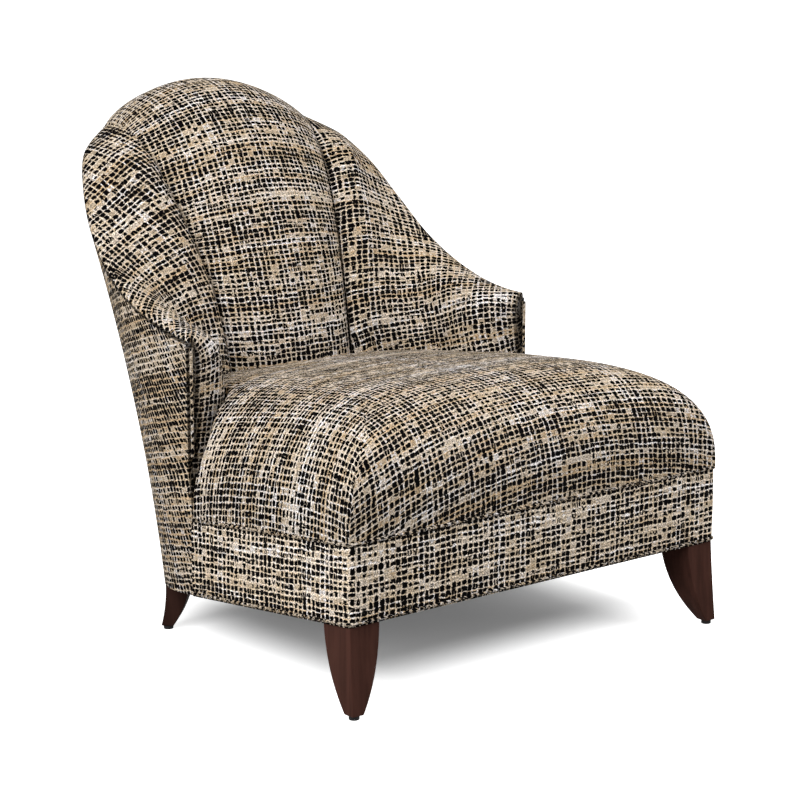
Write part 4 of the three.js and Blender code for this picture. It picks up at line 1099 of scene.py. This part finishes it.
def makeFloor():  # seen by the camera it is white and shows the chair's real shadow only inside a rounded rectangle under the chair, where its glow is dimmed: a painted shadow shape over the real one
    bm = bmesh.new()
    bmesh.ops.create_grid(bm, x_segments=1, y_segments=1, size=30.0)
    floor = finishMesh("floor", bm)
    material = bpy.data.materials.new("pale floor")
    material.use_nodes = True
    material.node_tree.nodes.clear()
    w = Wiring(material.node_tree)
    path = w.node("ShaderNodeLightPath")
    seen = w.sum("MAXIMUM", path.outputs["Is Camera Ray"], path.outputs["Is Glossy Ray"])
    seen = w.sum("MAXIMUM", seen, path.outputs["Is Transmission Ray"], clamped=True)
    place = w.node("ShaderNodeSeparateXYZ", {0: w.node("ShaderNodeTexCoord").outputs["Object"]}).outputs
    # painted shadow: the glow is dimmed inside a rounded rectangle under the chair
    outside = []
    for axis in (0, 1):
        off = w.sum("ABSOLUTE", w.less(place[axis], stage["shadowMiddle"][axis]))
        outside.append(w.sum("MAXIMUM", w.less(off, stage["shadowHalf"][axis]), 0.0))
    distance = w.sum("SQRT", w.plus(w.times(outside[0], outside[0]), w.times(outside[1], outside[1])))
    strength = w.ramp(distance, 0.0, stage["shadowEdge"], stage["shadowGlow"], 1.0)
    plain = w.node("ShaderNodeBsdfDiffuse", {"Color": (0.82, 0.82, 0.82, 1)})
    glow = w.node("ShaderNodeEmission", {"Color": (1, 1, 1, 1), "Strength": strength})
    both = w.node("ShaderNodeAddShader", {0: plain.outputs[0], 1: glow.outputs[0]})
    unseen = w.node("ShaderNodeBsdfDiffuse", {"Color": (0.25, 0.25, 0.25, 1)})
    mixed = w.node("ShaderNodeMixShader", {0: seen, 1: unseen.outputs[0], 2: both.outputs[0]})
    out = w.node("ShaderNodeOutputMaterial")
    material.node_tree.links.new(mixed.outputs[0], out.inputs["Surface"])
    floor.data.materials.append(material)


def makeLight():
    for name, place, aim, size, watts in stage["lamps"]:
        lamp = bpy.data.lights.new(name, "AREA")
        lamp.shape, lamp.size, lamp.energy = "DISK", size, watts
        holder = bpy.data.objects.new(name, lamp)
        holder.location = place
        holder.rotation_euler = (Vector(aim) - Vector(place)).to_track_quat("-Z", "Y").to_euler()
        bpy.context.scene.collection.objects.link(holder)
    world = bpy.data.worlds.new("studio")
    bpy.context.scene.world = world
    world.use_nodes = True
    world.node_tree.nodes.clear()
    w = Wiring(world.node_tree)
    path = w.node("ShaderNodeLightPath")
    seen = w.sum("MAXIMUM", path.outputs["Is Camera Ray"], path.outputs["Is Glossy Ray"])
    seen = w.sum("MAXIMUM", seen, path.outputs["Is Transmission Ray"], clamped=True)
    strength = w.sum("ADD", stage["worldLight"], w.sum("MULTIPLY", seen, 1.0 - stage["worldLight"]))
    back = w.node("ShaderNodeBackground", {"Color": (1, 1, 1, 1), "Strength": strength})
    out = w.node("ShaderNodeOutputWorld")
    world.node_tree.links.new(back.outputs[0], out.inputs["Surface"])


view = dict(lens=105.935, place=(-2.526405, -3.171245, 1.206787), turn=-39.724, pitch=11.681)


def makeCamera():
    camera = bpy.data.cameras.new("camera")
    camera.sensor_width, camera.lens = 36.0, view["lens"]
    holder = bpy.data.objects.new("camera", camera)
    holder.location = view["place"]
    holder.rotation_euler = (math.radians(90 - view["pitch"]), 0, math.radians(view["turn"]))
    bpy.context.scene.collection.objects.link(holder)
    bpy.context.scene.camera = holder


makeFloor()
makeLight()
makeCamera()
bpy.context.scene.view_settings.view_transform = "Standard"
print("stage set")
